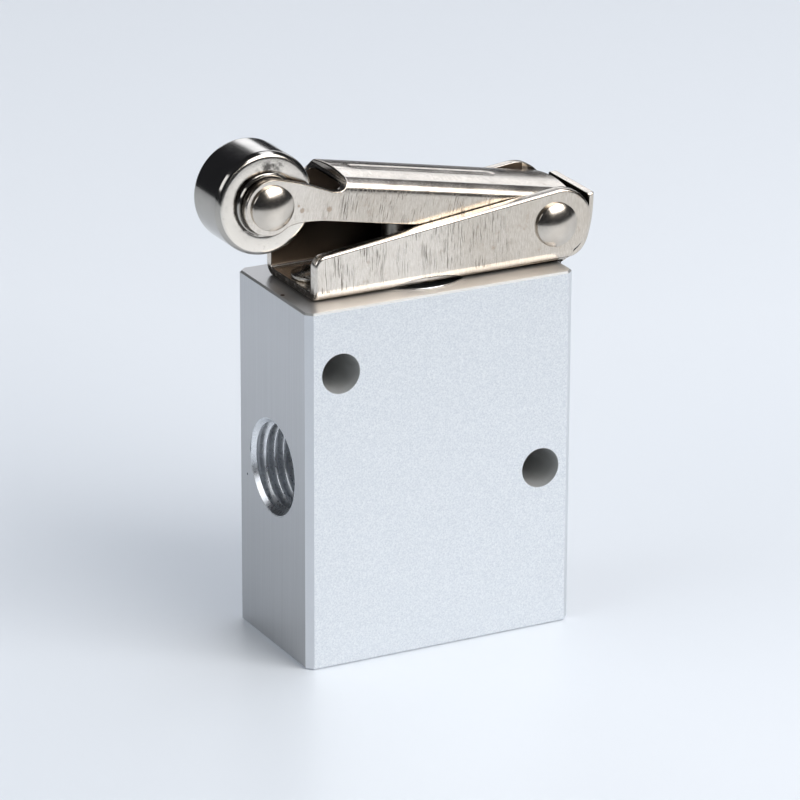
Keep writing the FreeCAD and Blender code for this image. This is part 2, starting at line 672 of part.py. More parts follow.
def make_rivet(label, width, x, z):
    """A round headed rivet across the two walls that it joins, axis along Y."""
    half = "(%s / 2)" % width
    rim = "(%s + sizes.rivet_head_rim)" % half
    crown = "(%s + sizes.rivet_head_dome)" % rim
    head = "sizes.rivet_head_radius"
    dome = "((%s ^ 2 + sizes.rivet_head_dome ^ 2) / (2 * sizes.rivet_head_dome))" % head
    body = new_body(label)
    corners = [
        ("0", "-" + crown, ("0", "-%s + %s" % (crown, dome)), "left"),
        (head, "-" + rim),
        (head, "-" + half),
        ("sizes.rivet_radius", "-" + half),
        ("sizes.rivet_radius", half),
        (head, half),
        (head, rim, ("0", "%s - %s" % (crown, dome)), "left"),
        ("0", crown),
    ]
    revolve(body, "rivet", corners)
    place(body, x=x, z=z, axis=(1, 0, 0), angle="90")


def make_lever():
    """A channel bent from sheet, open downwards, with two arms for the roller.
    Its own origin is the pivot, and its X axis runs along the lever."""
    body = new_body("lever")
    width = "sizes.lever_width"
    inner = "(sizes.lever_width / 2 - sizes.sheet)"
    start = "(-sizes.lever_web_start - sizes.arm_fillet)"
    skirt = "-sizes.lever_skirt"
    signs = ("-", "")
    sides = rectangle(start, "sizes.lever_web_end", skirt, "sizes.lever_top")
    pad(body, "channel_block", outline(body, "channel_outline", "XZ_Plane", sides), width)
    pivot = circle_sketch(body, "pivot_circle", "XZ_Plane", "0", "0", "sizes.lever_pivot_radius")
    whole = pad(body, "pivot_end", pivot, width)
    foot = "-sqrt(sizes.lever_pivot_radius ^ 2 - sizes.lever_skirt ^ 2)"
    heel = edges_at(whole, [(foot, "0", skirt)])
    soften(body, "Fillet", "pivot_corner", whole, heel, "sizes.arm_fillet")
    hollow = rectangle("-" + inner, inner, "-2 * sizes.lever_pivot_radius", web_under)
    folded = pocket(body, "hollow", outline(body, "hollow_outline", "YZ_Plane", hollow))
    middle = "(sizes.lever_web_end + %s) / 2" % start
    inside = edges_at(folded, [(middle, sign + inner, web_under) for sign in signs])
    folded = soften(body, "Fillet", "inner_bends", folded, inside, "sizes.bend_radius")
    outside = edges_at(folded, [(middle, sign + width + " / 2", "sizes.lever_top") for sign in signs])
    soften(body, "Fillet", "outer_bends", folded, outside, "sizes.bend_radius + sizes.sheet")
    make_lever_arms(body, start, skirt)
    arm = "-sizes.lever_arm"
    drill(body, "roller_rivet_hole", "XZ_Plane", arm, "0", "sizes.rivet_radius + sizes.seat_clearance")
    drill(body, "pivot_hole", "XZ_Plane", "0", "0", "sizes.rivet_radius + sizes.running_clearance")
    place(body, x="sizes.pivot_offset", z=pivot_height, axis=(0, 1, 0), angle="sizes.lever_tilt")


def make_lever_arms(body, start, skirt):
    """The web is notched back, and the two walls run on as arms to the roller's eyes."""
    eye = "sizes.arm_eye_radius"
    arm = "-sizes.lever_arm"
    reach = "(%s + sizes.lever_arm)" % start
    height = "(%s / cos(sizes.arm_taper) - %s * tan(sizes.arm_taper))" % (eye, reach)
    centre = (start, "(%s + sizes.arm_fillet)" % height)
    beyond = "(%s - sizes.sheet)" % start
    above = "sizes.lever_top + sizes.sheet"
    notch = [
        (beyond, height),
        (start, height, centre, "left"),
        ("-sizes.lever_web_start", centre[1]),
        ("-sizes.lever_web_start", above),
        (beyond, above),
    ]
    pocket(body, "notch", outline(body, "notch_outline", "XZ_Plane", notch))
    foot = "(%s + sqrt(%s ^ 2 - sizes.lever_skirt ^ 2))" % (arm, eye)
    tangent = ("%s + %s * sin(sizes.arm_taper)" % (arm, eye), eye + " * cos(sizes.arm_taper)")
    plate = [
        (start, skirt),
        (start, height),
        tangent + ((arm, "0"), "left"),
        (foot, skirt),
    ]
    wall = "(sizes.lever_width - sizes.sheet) / 2"
    for name, sign in (("near", ""), ("far", "-")):
        side = outline(body, name + "_arm_outline", "XZ_Plane", plate, sign + wall)
        whole = pad(body, name + "_arm", side, "sizes.sheet")
    toes = edges_at(whole, [(foot, sign + wall, skirt) for sign in ("-", "")])
    soften(body, "Fillet", "eye_corners", whole, toes, "sizes.eye_fillet")


def make_roller():
    body = new_body("roller")
    half = "sizes.roller_length / 2"
    bore = "sizes.bush_radius + sizes.seat_clearance"
    corners = rectangle(bore, "sizes.roller_radius", "-" + half, half)
    ring = revolve(body, "ring", corners)
    rims = edges_round(ring, ("0", "0", "-" + half), "sizes.roller_radius")
    rims += edges_round(ring, ("0", "0", half), "sizes.roller_radius")
    soften(body, "Fillet", "rims", ring, rims, "sizes.roller_edge")
    place(body, x=roller_x, z=roller_z, axis=(1, 0, 0), angle="90")


def make_roller_bush():
    body = new_body("roller_bush")
    half = "sizes.bush_length / 2"
    bore = "sizes.rivet_radius + sizes.running_clearance"
    revolve(body, "tube", rectangle(bore, "sizes.bush_radius", "-" + half, half))
    place(body, x=roller_x, z=roller_z, axis=(1, 0, 0), angle="90")


def check_and_write():
    """Stop at any object that failed, then write one file for each piece."""
    doc.removeObject(probe.Name)
    doc.recompute()
    for item in doc.Objects:
        if "Invalid" in item.State or "Error" in item.State:
            raise RuntimeError("%s failed: %s" % (item.Label, item.State))
    os.makedirs("parts", exist_ok=True)
    for piece in parts:
        shape = piece.Shape
        if shape.isNull() or not shape.isValid():
            raise RuntimeError(piece.Label + " has no valid shape")
        print("%-22s %d solid, %9.2f mm3" % (piece.Label, len(shape.Solids), shape.Volume))
        shape.exportStep("parts/%s.step" % piece.Label)


make_valve_body()
make_guide()
make_sleeve()
make_seals()
make_spool()
make_plunger()
make_spring()
make_bracket()
make_bracket_screws()
make_rivet("pivot_rivet", "sizes.bracket_width", "sizes.pivot_offset", pivot_height)
make_lever()
make_rivet("roller_rivet", "sizes.lever_width", roller_x, roller_z)
make_roller()
make_roller_bush()
check_and_write()
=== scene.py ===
import json
import math

import bmesh
import bpy
from mathutils import Matrix, Vector


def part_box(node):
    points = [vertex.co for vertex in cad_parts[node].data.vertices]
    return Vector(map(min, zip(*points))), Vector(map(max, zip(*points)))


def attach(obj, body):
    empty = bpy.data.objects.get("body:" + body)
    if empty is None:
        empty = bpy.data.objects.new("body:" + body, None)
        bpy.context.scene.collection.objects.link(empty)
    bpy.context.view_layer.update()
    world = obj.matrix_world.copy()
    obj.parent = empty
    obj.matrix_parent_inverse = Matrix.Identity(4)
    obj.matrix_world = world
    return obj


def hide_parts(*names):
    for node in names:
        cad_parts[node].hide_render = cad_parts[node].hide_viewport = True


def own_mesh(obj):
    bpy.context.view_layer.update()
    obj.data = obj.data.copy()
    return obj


# Roller lever valve: an anodised aluminium block, and on it a pressed nickel plated
# bracket, a lever with a steel roller, and what shows of the plunger and its guide.
# Shapes are drawn in millimetres and scaled to metres when a piece is finished.
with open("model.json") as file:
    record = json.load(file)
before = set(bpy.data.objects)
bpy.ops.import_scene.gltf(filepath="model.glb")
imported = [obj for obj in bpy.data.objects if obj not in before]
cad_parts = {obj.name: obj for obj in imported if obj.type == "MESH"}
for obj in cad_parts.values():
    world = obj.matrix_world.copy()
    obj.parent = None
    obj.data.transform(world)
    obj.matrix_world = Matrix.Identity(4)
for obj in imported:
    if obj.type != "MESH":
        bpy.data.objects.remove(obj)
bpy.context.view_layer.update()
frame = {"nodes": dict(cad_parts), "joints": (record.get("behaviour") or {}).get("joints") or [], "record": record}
mm = 0.001
joints = {joint["name"]: joint for joint in frame["joints"]}
pivot = Vector(joints["lever_hinge"]["pos_m"]) / mm
rollerAxle = Vector(joints["roller_spin"]["pos_m"]) / mm
leverTilt = math.atan2(rollerAxle.z - pivot.z, pivot.x - rollerAxle.x)
leverArm = math.hypot(rollerAxle.z - pivot.z, pivot.x - rollerAxle.x)
blockLow = Vector(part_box("valve_body")[0]) / mm
blockHigh = Vector(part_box("valve_body")[1]) / mm
print("frame loaded:", len(frame["nodes"]), "nodes")


# Shape helpers

def arcPoints(centre, radius, start, end, steps=12):
    # points along an arc, its angles in degrees, both ends included
    points = []
    for step in range(steps + 1):
        angle = math.radians(start + (end - start) * step / steps)
        points.append((centre[0] + radius * math.cos(angle), centre[1] + radius * math.sin(angle)))
    return points


def smoothCurve(points, steps=6):
    # a curve through the points, for edges that no arc fits
    curve = []
    last = len(points) - 1
    for index in range(last):
        before = Vector(points[max(index - 1, 0)])
        start = Vector(points[index])
        end = Vector(points[index + 1])
        after = Vector(points[min(index + 2, last)])
        for step in range(steps):
            t = step / steps
            leaving = (end - before) / 2
            arriving = (after - start) / 2
            spot = (
                start * (2 * t ** 3 - 3 * t ** 2 + 1)
                + end * (3 * t ** 2 - 2 * t ** 3)
                + leaving * (t ** 3 - 2 * t ** 2 + t)
                + arriving * (t ** 3 - t ** 2)
            )
            curve.append(tuple(spot))
    curve.append(tuple(points[-1]))
    return curve


def meshObject(name, work):
    bmesh.ops.recalc_face_normals(work, faces=work.faces)
    mesh = bpy.data.meshes.new(name)
    work.to_mesh(mesh)
    work.free()
    piece = bpy.data.objects.new(name, mesh)
    bpy.context.scene.collection.objects.link(piece)
    return piece


def prism(name, corners, axis, low, high):
    # a flat outline carried along x, y or z from low to high
    place = {
        "x": lambda a, b, along: (along, a, b),
        "y": lambda a, b, along: (a, along, b),
        "z": lambda a, b, along: (a, b, along),
    }[axis]
    work = bmesh.new()
    bottom = [work.verts.new(place(a, b, low)) for a, b in corners]
    top = [work.verts.new(place(a, b, high)) for a, b in corners]
    work.faces.new(bottom)
    work.faces.new(top)
    for index in range(len(corners)):
        after = (index + 1) % len(corners)
        work.faces.new((bottom[index], bottom[after], top[after], top[index]))
    return meshObject(name, work)


def joinRings(work, rings, closed=False):
    # faces from each ring of vertices to the next one, and over the ends where the run is open
    for before, after in zip(rings, rings[1:] + rings[:1] if closed else rings[1:]):
        for index in range(len(before)):
            following = (index + 1) % len(before)
            work.faces.new((before[index], before[following], after[following], after[index]))
    if not closed:
        work.faces.new(rings[0])
        work.faces.new(rings[-1])


def lathe(name, profile, steps=96):
    # a profile of (radius, height) turned about the upright axis
    work = bmesh.new()
    rings = []
    for radius, height in profile:
        if radius == 0:
            rings.append([work.verts.new((0, 0, height))] * steps)
            continue
        ring = []
        for step in range(steps):
            angle = 2 * math.pi * step / steps
            ring.append(work.verts.new((radius * math.cos(angle), radius * math.sin(angle), height)))
        rings.append(ring)
    closed = profile[0][0] != 0
    pairs = list(zip(rings, rings[1:]))
    if closed:
        pairs.append((rings[-1], rings[0]))
    for lower, upper in pairs:
        for step in range(steps):
            after = (step + 1) % steps
            corners = [lower[step], lower[after], upper[after], upper[step]]
            corners = [spot for index, spot in enumerate(corners) if spot not in corners[:index]]
            if len(corners) > 2:
                work.faces.new(corners)
    return meshObject(name, work)


def settle(piece):
    # the modifiers become part of the mesh
    shaped = bpy.data.meshes.new_from_object(
        piece.evaluated_get(bpy.context.evaluated_depsgraph_get())
    )
    piece.modifiers.clear()
    piece.data = shaped


def combine(piece, tool, how):
    # DIFFERENCE, UNION or INTERSECT with a tool that is then gone
    boolean = piece.modifiers.new("combine", "BOOLEAN")
    boolean.operation = how
    boolean.object = tool
    boolean.solver = "EXACT"
    settle(piece)
    bpy.data.objects.remove(tool)


def weld(piece, distance):
    # corners closer than distance become one
    work = bmesh.new()
    work.from_mesh(piece.data)
    bmesh.ops.remove_doubles(work, verts=work.verts, dist=distance)
    bmesh.ops.dissolve_degenerate(work, edges=work.edges, dist=distance / 2)
    work.to_mesh(piece.data)
    work.free()


def roundEdges(piece, width, angle=32, segments=3, outward=None, inner=1.0):
    # Edges that turn by more than angle. A channel's back faces up (outward 1) or down (-1), and
    # its edges that touch no outer face get the inner share of the width.
    work = bmesh.new()
    work.from_mesh(piece.data)
    bmesh.ops.dissolve_limit(
        work, angle_limit=math.radians(0.04), verts=work.verts, edges=work.edges, delimit=set()
    )
    shares = work.edges.layers.float.new("bevel_weight_edge")
    for edge in work.edges:
        if len(edge.link_faces) == 2 and edge.calc_face_angle() > math.radians(angle):
            edge[shares] = 1.0
            if outward:
                side = 1.0 if sum(vertex.co.y for vertex in edge.verts) > 0 else -1.0
                turns = [face.normal.y * side + face.normal.z * outward for face in edge.link_faces]
                edge[shares] = 1.0 if max(turns) > 0.9 else inner
    work.to_mesh(piece.data)
    work.free()
    bevel = piece.modifiers.new("rounded edges", "BEVEL")
    bevel.width = width
    bevel.segments = segments
    bevel.limit_method = "WEIGHT"
    bevel.use_clamp_overlap = False
    settle(piece)


def finishPiece(piece, body, material, nodes=(), smooth=32):
    # from millimetres to metres, shaded, painted, and fixed to its body
    piece.data.transform(Matrix.Scale(mm, 4))
    piece.data.shade_smooth()
    piece.data.set_sharp_from_angle(angle=math.radians(smooth))
    # large faces stay flat, and the rounded edges take up the turn
    weighted = piece.modifiers.new("weighted normals", "WEIGHTED_NORMAL")
    weighted.keep_sharp = True
    settle(piece)
    piece.data.materials.clear()
    piece.data.materials.append(material)
    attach(piece, body)
    if nodes:
        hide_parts(*nodes)


# Material helpers

noiseMiddle = (0.3, 0.7)  # most values of a noise texture lie between these


def toLinear(hexColour):
    channels = [int(hexColour[start:start + 2], 16) / 255 for start in (1, 3, 5)]
    return [c / 12.92 if c <= 0.04045 else ((c + 0.055) / 1.055) ** 2.4 for c in channels] + [1]


def addNode(tree, kind, *inputs, **settings):
    # One node with its settings and links. Inputs are given in the order of the sockets that the
    # node shows, or in a dictionary by their names. Each is a value, a node whose first shown
    # output is linked, or (node, output).
    node = tree.nodes.new("ShaderNode" + kind)
    for setting, value in settings.items():
        setattr(node, setting, value)
    if inputs and isinstance(inputs[0], dict):
        pairs = [(node.inputs[name], value) for name, value in inputs[0].items()]
    else:
        pairs = zip([socket for socket in node.inputs if socket.enabled], inputs)
    for socket, value in pairs:
        if isinstance(value, bpy.types.Node):
            tree.links.new(next(output for output in value.outputs if output.enabled), socket)
        elif isinstance(value, tuple) and isinstance(value[0], bpy.types.Node):
            tree.links.new(value[0].outputs[value[1]], socket)
        else:
            socket.default_value = value
    return node


def newMaterial(name):
    # an empty material, the object's coordinates in millimetres, and its normal
    material = bpy.data.materials.new(name)
    material.use_nodes = True
    tree = material.node_tree
    tree.nodes.clear()
    coords = addNode(tree, "TexCoord")
    place = addNode(tree, "VectorMath", (coords, "Object"), 1 / mm, operation="SCALE")
    return material, tree, place, (coords, "Normal")


def shadeMaterial(tree, sockets):
    shader = addNode(tree, "BsdfPrincipled", sockets)
    addNode(tree, "OutputMaterial", shader)


def blockAluminium():
    # Clear anodised aluminium. Front and back are bead blasted: pale, cool, with a fine
    # sparkle. The port sides are milled, with fine upright lines and a darker grey, and the
    # top is a warm satin. The mounting holes are drilled: plain grey, and duller than the ports.
    finish = {
        "blasted": ("#dde2e8", "#fafdff"), "side": ("#b9babb", "#d9dadc"), "top": ("#c2c0be", "#d3d1cf"),
        "chamfer": "#e6e9ed", "topEdge": "#bcbcba", "hole": "#b0b1b0", "port": "#eceff3",
        # sizes in mm, along x, y and z where there are three; blasted pits and milled lines are
        # really about half as wide, too fine to show
        "grit": 0.22, "cloud": 9.0, "line": (1.0, 0.16, 22.0), "swell": (6.0, 2.2, 60.0),
        "flat": 0.93,  # a flat face's normal is at least this much along one axis
        "dullHeights": (14.0, 44.0),  # painted shade: the port sides are painted darker below the middle, where they mirror the block's shadow on the floor
        "blastedRough": (0.46, 0.6), "sideRough": (0.3, 0.42), "topRough": (0.33, 0.4),
        "metallic": 0.85, "dullness": {"bore": 0.75, "threaded_hole": 0.4},
        "swellDepth": 0.05, "gritDepth": 0.02, "lineShare": 0.4,
        # centre, radius and colour of the two stray specks
        "specks": (((-19.1, -1.9, 50.0), 0.3, "#4a2c1e"), ((-19.75, 7.7, 21.8), 0.17, "#50545a")),
    }
    material, tree, place, normal = newMaterial("blastedAnodisedAluminium")
    axes = addNode(tree, "SeparateXYZ", normal)
    spots = addNode(tree, "SeparateXYZ", place)
    flats = {}
    for name in "XYZ":
        share = addNode(tree, "Math", (axes, name), operation="ABSOLUTE")
        flats[name] = addNode(tree, "Math", share, finish["flat"], operation="GREATER_THAN")
    flat = addNode(tree, "Math", flats["X"], flats["Z"], operation="MAXIMUM")
    flat = addNode(tree, "Math", flat, flats["Y"], operation="MAXIMUM")

    # inside a mounting hole, or inside a port
    inside = {"bore": 0.0, "threaded_hole": 0.0}
    for mount in frame["record"]["mounts"]:
        if mount["kind"] not in inside:
            continue
        offset = addNode(tree, "VectorMath", place, Vector(mount["pos_m"]) / mm, operation="SUBTRACT")
        beside = [1 - abs(share) for share in mount["axis"]]
        level = addNode(tree, "VectorMath", offset, beside, operation="MULTIPLY")
        apart = addNode(tree, "VectorMath", level, operation="LENGTH")
        within = addNode(tree, "Math", apart, mount["dims"]["r_mm"] + 0.03, operation="LESS_THAN")
        if mount["kind"] == "threaded_hole":
            outward = addNode(tree, "VectorMath", place, mount["axis"], operation="DOT_PRODUCT")
            near = addNode(tree, "Math", outward, 0.0, operation="GREATER_THAN")
            within = addNode(tree, "Math", within, near, operation="MULTIPLY")
        inside[mount["kind"]] = addNode(tree, "Math", inside[mount["kind"]], within, operation="MAXIMUM")

    grain = addNode(tree, "TexNoise", place, 1 / finish["grit"], 3.0, 0.6)
    clouds = addNode(tree, "TexNoise", place, 1 / finish["cloud"])
    drawn = addNode(tree, "VectorMath", place, finish["line"], operation="DIVIDE")
    lines = addNode(tree, "TexNoise", drawn, 1.0, 3.0, 0.6)
    drawn = addNode(tree, "VectorMath", place, finish["swell"], operation="DIVIDE")
    swell = addNode(tree, "TexNoise", drawn, 1.0)

    pairs = {name: [toLinear(shade) for shade in finish[name]] for name in ("blasted", "side", "top")}
    shares = {
        "blasted": addNode(tree, "MapRange", grain, *noiseMiddle, 0.0, 1.0),
        # painted shade: the port sides get darker towards the bottom
        "side": addNode(
            tree, "Math", addNode(tree, "MapRange", (spots, "Z"), *finish["dullHeights"], 0.15, 0.65),
            addNode(tree, "MapRange", lines, *noiseMiddle, 0.0, 0.35), operation="ADD",
        ),
        "top": addNode(tree, "MapRange", clouds, *noiseMiddle, 0.0, 1.0),
    }
    faces = {name: addNode(tree, "Mix", shares[name], *pairs[name], data_type="RGBA") for name in shares}
    facesUp = addNode(tree, "Math", (axes, "Z"), 0.2, operation="GREATER_THAN")
    edges = (toLinear(finish["chamfer"]), toLinear(finish["topEdge"]))
    colour = addNode(tree, "Mix", facesUp, *edges, data_type="RGBA")
    for where, shade in (
        (flat, faces["blasted"]), (flats["X"], faces["side"]), (flats["Z"], faces["top"]),
        (inside["bore"], toLinear(finish["hole"])), (inside["threaded_hole"], toLinear(finish["port"])),
    ):
        colour = addNode(tree, "Mix", where, colour, shade, data_type="RGBA")
    for centre, radius, shade in finish["specks"]:
        apart = addNode(tree, "VectorMath", place, centre, operation="DISTANCE")
        near = addNode(tree, "Math", apart, radius, operation="LESS_THAN")
        colour = addNode(tree, "Mix", near, colour, toLinear(shade), data_type="RGBA")

    rough = addNode(tree, "MapRange", grain, *noiseMiddle, *finish["blastedRough"])
    for where, texture, name in ((flats["X"], lines, "sideRough"), (flats["Z"], clouds, "topRough")):
        rough = addNode(
            tree, "Mix", where, rough, addNode(tree, "MapRange", texture, *noiseMiddle, *finish[name])
        )
    metallic = finish["metallic"]
    for kind, share in finish["dullness"].items():
        less = addNode(tree, "Math", inside[kind], share, operation="MULTIPLY")
        metallic = addNode(tree, "Math", metallic, less, operation="SUBTRACT")
    lineRelief = addNode(tree, "Math", lines, finish["lineShare"], operation="MULTIPLY")
    soft = addNode(
        tree, "Bump", {"Height": swell, "Strength": 0.08, "Distance": finish["swellDepth"] * mm}
    )
    relief = addNode(tree, "Bump", {
        "Height": addNode(tree, "Mix", flats["X"], grain, lineRelief), "Strength": 0.45,
        "Distance": finish["gritDepth"] * mm, "Normal": soft,
    })
    shadeMaterial(
        tree, {"Base Color": colour, "Roughness": rough, "Metallic": metallic, "Normal": relief}
    )
    return material


def pressedNickel(name, plate):
    # Nickel plated pressed steel: bright and a little warm. Drawing left short upright
    # scratches on the flat sides, the plate is slightly uneven, and it has tea stains.
    # The inner sides are dull, and painted dark brown for the shade inside the channel.
    finish = {
        # painted shade: inner is the shade inside the channel, and the gap colour is painted shadow before the
        # stop tab
        "plate": ("#c9bfb2", "#f0e8de"), "stain": "#a08468", "mark": "#5f5850", "inner": "#5e5349",
        # the dark edge colour darkens the bracket base's end face, and is a painted dark reflection on the lever
        # arms' upper edges
        "gap": "#181513", "sheared": "#5d554c",
        # sizes in mm; real draw marks are some hundredths wide and wouldn't show
        "scratch": (0.1, 2.0, 2.4), "patch": (2.4, 2.0, 3.4), "streak": (0.09, 1.0, 0.8),
        "pit": 0.28, "cloud": 4.0, "tea": 1.6, "wave": 0.8, "crumb": 0.35,
        "pitDepth": 0.02, "waveDepth": 0.05, "scratchDepth": 0.02, "rough": (0.2, 0.27),
    }
    material, tree, place, normal = newMaterial(name)
    # the plate's own coordinates, from the frame's origin and from the pivot
    fromPivot = addNode(tree, "VectorMath", place, pivot, operation="SUBTRACT")
    along, station = [
        addNode(
            tree, "VectorRotate", {"Vector": vector, "Axis": (0, 1, 0), "Angle": -plate["tilt"]},
            rotation_type="AXIS_ANGLE",
        )
        for vector in (place, fromPivot)
    ]
    station = (addNode(tree, "SeparateXYZ", station), "X")
    axes = addNode(tree, "SeparateXYZ", normal)
    spots = addNode(tree, "SeparateXYZ", place)

    # painted shade on the inner sides, and painted shadow in the gap before the bracket's stop tab
    across = addNode(tree, "Math", (spots, "Y"), operation="ABSOLUTE")
    inner = addNode(tree, "Math", across, plate["inside"], operation="LESS_THAN")
    sideways = addNode(tree, "Math", (axes, "X"), operation="ABSOLUTE")
    for source, limit in (((axes, "Z"), 0.55), (sideways, 0.6), ((spots, "X"), plate["gapFrom"])):
        below = addNode(tree, "Math", source, limit, operation="LESS_THAN")
        inner = addNode(tree, "Math", inner, below, operation="MULTIPLY")
    gap = addNode(
        tree, "Math", addNode(tree, "Math", (axes, "X"), -0.4, operation="LESS_THAN"),
        addNode(tree, "Math", (spots, "X"), plate["gapFrom"], operation="GREATER_THAN"),
        operation="MULTIPLY",
    )

    marks, patches, streaks = [
        addNode(
            tree, "TexNoise", addNode(tree, "VectorMath", along, finish[size], operation="DIVIDE"),
            1.0, detail, roughness,
        )
        for size, detail, roughness in (("scratch", 2.5, 0.6), ("patch", 1.0, 0.5), ("streak", 3.0, 0.7))
    ]
    pits = addNode(tree, "TexNoise", place, 1 / finish["pit"])
    cloud = addNode(tree, "TexNoise", place, 1 / finish["cloud"], 3.0)
    tea = addNode(tree, "TexNoise", place, 1 / finish["tea"], 3.0, 0.6)
    waves = addNode(tree, "TexNoise", place, 1 / finish["wave"])
    # the scratches are on the walls, in patches, and fade out along the plate
    scratches = addNode(tree, "MapRange", marks, 0.55, 0.64, 0.0, 1.0)
    wall = addNode(tree, "Math", (axes, "Y"), operation="ABSOLUTE")
    for share in (
        addNode(tree, "MapRange", patches, 0.4, 0.62, 0.05, 1.0),
        addNode(tree, "Math", wall, 0.97, operation="GREATER_THAN"),
        addNode(tree, "MapRange", station, *plate["scored"], 0.0, 1.0),
    ):
        scratches = addNode(tree, "Math", scratches, share, operation="MULTIPLY")

    # the plating is warmer and darker towards the pivot, and finely streaked
    pale = addNode(tree, "MapRange", station, *plate["tanned"], 0.55, 0.0)
    for texture, low, high in ((cloud, 0.0, 0.3), (streaks, -0.4, 0.55)):
        shift = addNode(tree, "MapRange", texture, *noiseMiddle, low, high)
        pale = addNode(tree, "Math", pale, shift, operation="ADD")
    colour = addNode(tree, "Mix", pale, *[toLinear(shade) for shade in finish["plate"]], data_type="RGBA")
    darkening = [(addNode(tree, "MapRange", tea, 0.62, 0.78, 0.0, 0.55), "stain")]
    for centre, size in plate["spills"]:
        apart = addNode(tree, "VectorMath", place, centre, operation="DISTANCE")
        uneven = addNode(tree, "Math", waves, size, operation="MULTIPLY")
        ragged = addNode(tree, "Math", apart, uneven, operation="ADD")
        darkening.append((addNode(tree, "MapRange", ragged, size, 1.5 * size, 0.6, 0.0), "stain"))
    darkening.append((addNode(tree, "Math", scratches, 0.75, operation="MULTIPLY"), "mark"))
    if plate["channel"] == "down":
        # the base's end face is painted darker than the faces, with pale dots along it for painted glints
        glintDots = addNode(tree, "TexNoise", place, 1 / finish["crumb"])
        sheared = addNode(tree, "MapRange", glintDots, 0.55, 0.65, 0.85, 0.0)
        limits = (((axes, "X"), -0.5, "LESS_THAN"), ((spots, "Z"), blockHigh.z + 1.25, "LESS_THAN"))
    else:
        # painted reflection: the arms' upper edges are painted dark, for the dark room that they mirror
        sheared = 0.85
        limits = (((axes, "Z"), 0.4, "GREATER_THAN"), (station, -32.0, "LESS_THAN"))
    for source, limit, how in limits:
        test = addNode(tree, "Math", source, limit, operation=how)
        sheared = addNode(tree, "Math", sheared, test, operation="MULTIPLY")
    # stains and scratches, then the dark edges, the painted shade inside and the painted shadow in the gap
    for share, shade in darkening + [(sheared, "sheared"), (inner, "inner"), (gap, "gap")]:
        colour = addNode(tree, "Mix", share, colour, toLinear(finish[shade]), data_type="RGBA")

    rough = addNode(tree, "MapRange", cloud, *noiseMiddle, *finish["rough"])
    dull = addNode(tree, "Math", inner, gap, operation="ADD")
    for share, more in ((scratches, 0.2), (dull, 0.15)):
        added = addNode(tree, "Math", share, more, operation="MULTIPLY")
        rough = addNode(tree, "Math", rough, added, operation="ADD")
    cut = addNode(tree, "Math", scratches, -1.0, operation="MULTIPLY")
    skin = addNode(
        tree, "Bump", {"Height": waves, "Strength": 0.12, "Distance": finish["waveDepth"] * mm}
    )
    for height, strength, depth in ((pits, 0.12, "pitDepth"), (cut, 0.5, "scratchDepth")):
        skin = addNode(tree, "Bump", {
            "Height": height, "Strength": strength, "Distance": finish[depth] * mm, "Normal": skin,
        })
    shadeMaterial(tree, {"Base Color": colour, "Roughness": rough, "Metallic": 1.0, "Normal": skin})
    return material


def polishedSteel(name, steel):
    # Ground and polished steel: clear reflections, with faint turning lines about its axis. The
    # roller's end faces are satin and pitted, with painted shade in the hub's corner and a painted dark reflection
    # above it.
    material, tree, place, normal = newMaterial(name)
    drawn = addNode(tree, "VectorMath", place, steel["grain"], operation="DIVIDE")
    lines = addNode(tree, "TexNoise", drawn, 1.0, 3.0, 0.6)
    cloud = addNode(tree, "TexNoise", place, 1 / 2.5, 3.0)
    share = addNode(tree, "MapRange", cloud, *noiseMiddle, 0.0, 1.0)
    colours = [toLinear(shade) for shade in steel["colours"]]
    colour = addNode(tree, "Mix", share, *colours, data_type="RGBA")
    rough = addNode(tree, "MapRange", lines, *noiseMiddle, *steel["rough"])
    skin = addNode(tree, "Bump", {"Height": lines, "Strength": 0.1, "Distance": 0.01 * mm})
    if "face" in steel:
        face = steel["face"]
        endways = addNode(tree, "Math", (addNode(tree, "SeparateXYZ", normal), "Y"), operation="ABSOLUTE")
        onFace = addNode(tree, "Math", endways, 0.9, operation="GREATER_THAN")
        pits = addNode(tree, "TexNoise", place, 1 / face["pit"], 4.0, 0.65)
        pitted = addNode(tree, "MapRange", pits, 0.3, 0.4, 1.0, 0.0)
        pitted = addNode(tree, "Math", pitted, face["pitShare"], operation="MULTIPLY")
        satin = addNode(
            tree, "Mix", pitted, toLinear(face["colour"]), toLinear(face["pitColour"]), data_type="RGBA"
        )
        colour = addNode(tree, "Mix", onFace, colour, satin, data_type="RGBA")
        duller = addNode(tree, "Math", onFace, face["duller"], operation="MULTIPLY")
        rough = addNode(tree, "Math", rough, duller, operation="ADD")
        skin = addNode(tree, "Bump", {
            "Height": addNode(tree, "Math", pits, onFace, operation="MULTIPLY"), "Strength": 0.3,
            "Distance": face["pitDepth"] * mm, "Normal": skin,
        })
        # painted shade in the hub's corner, and a painted dark reflection on the face above it
        for centre, size, soft, depth in face["dirt"]:
            offset = addNode(tree, "VectorMath", place, rollerAxle + Vector(centre), operation="SUBTRACT")
            level = addNode(tree, "VectorMath", offset, (1.0, 0.0, 1.0), operation="MULTIPLY")
            apart = addNode(tree, "VectorMath", level, operation="LENGTH")
            uneven = addNode(tree, "Math", pits, 6 * soft, operation="MULTIPLY")
            ragged = addNode(tree, "Math", apart, uneven, operation="ADD")
            darkening = addNode(tree, "MapRange", ragged, size + 2 * soft, size + 4 * soft, depth, 0.0)
            darkening = addNode(tree, "Math", darkening, onFace, operation="MULTIPLY")
            colour = addNode(tree, "Mix", darkening, colour, toLinear(face["dirtColour"]), data_type="RGBA")
    shadeMaterial(tree, {"Base Color": colour, "Roughness": rough, "Metallic": 1.0, "Normal": skin})
    return material


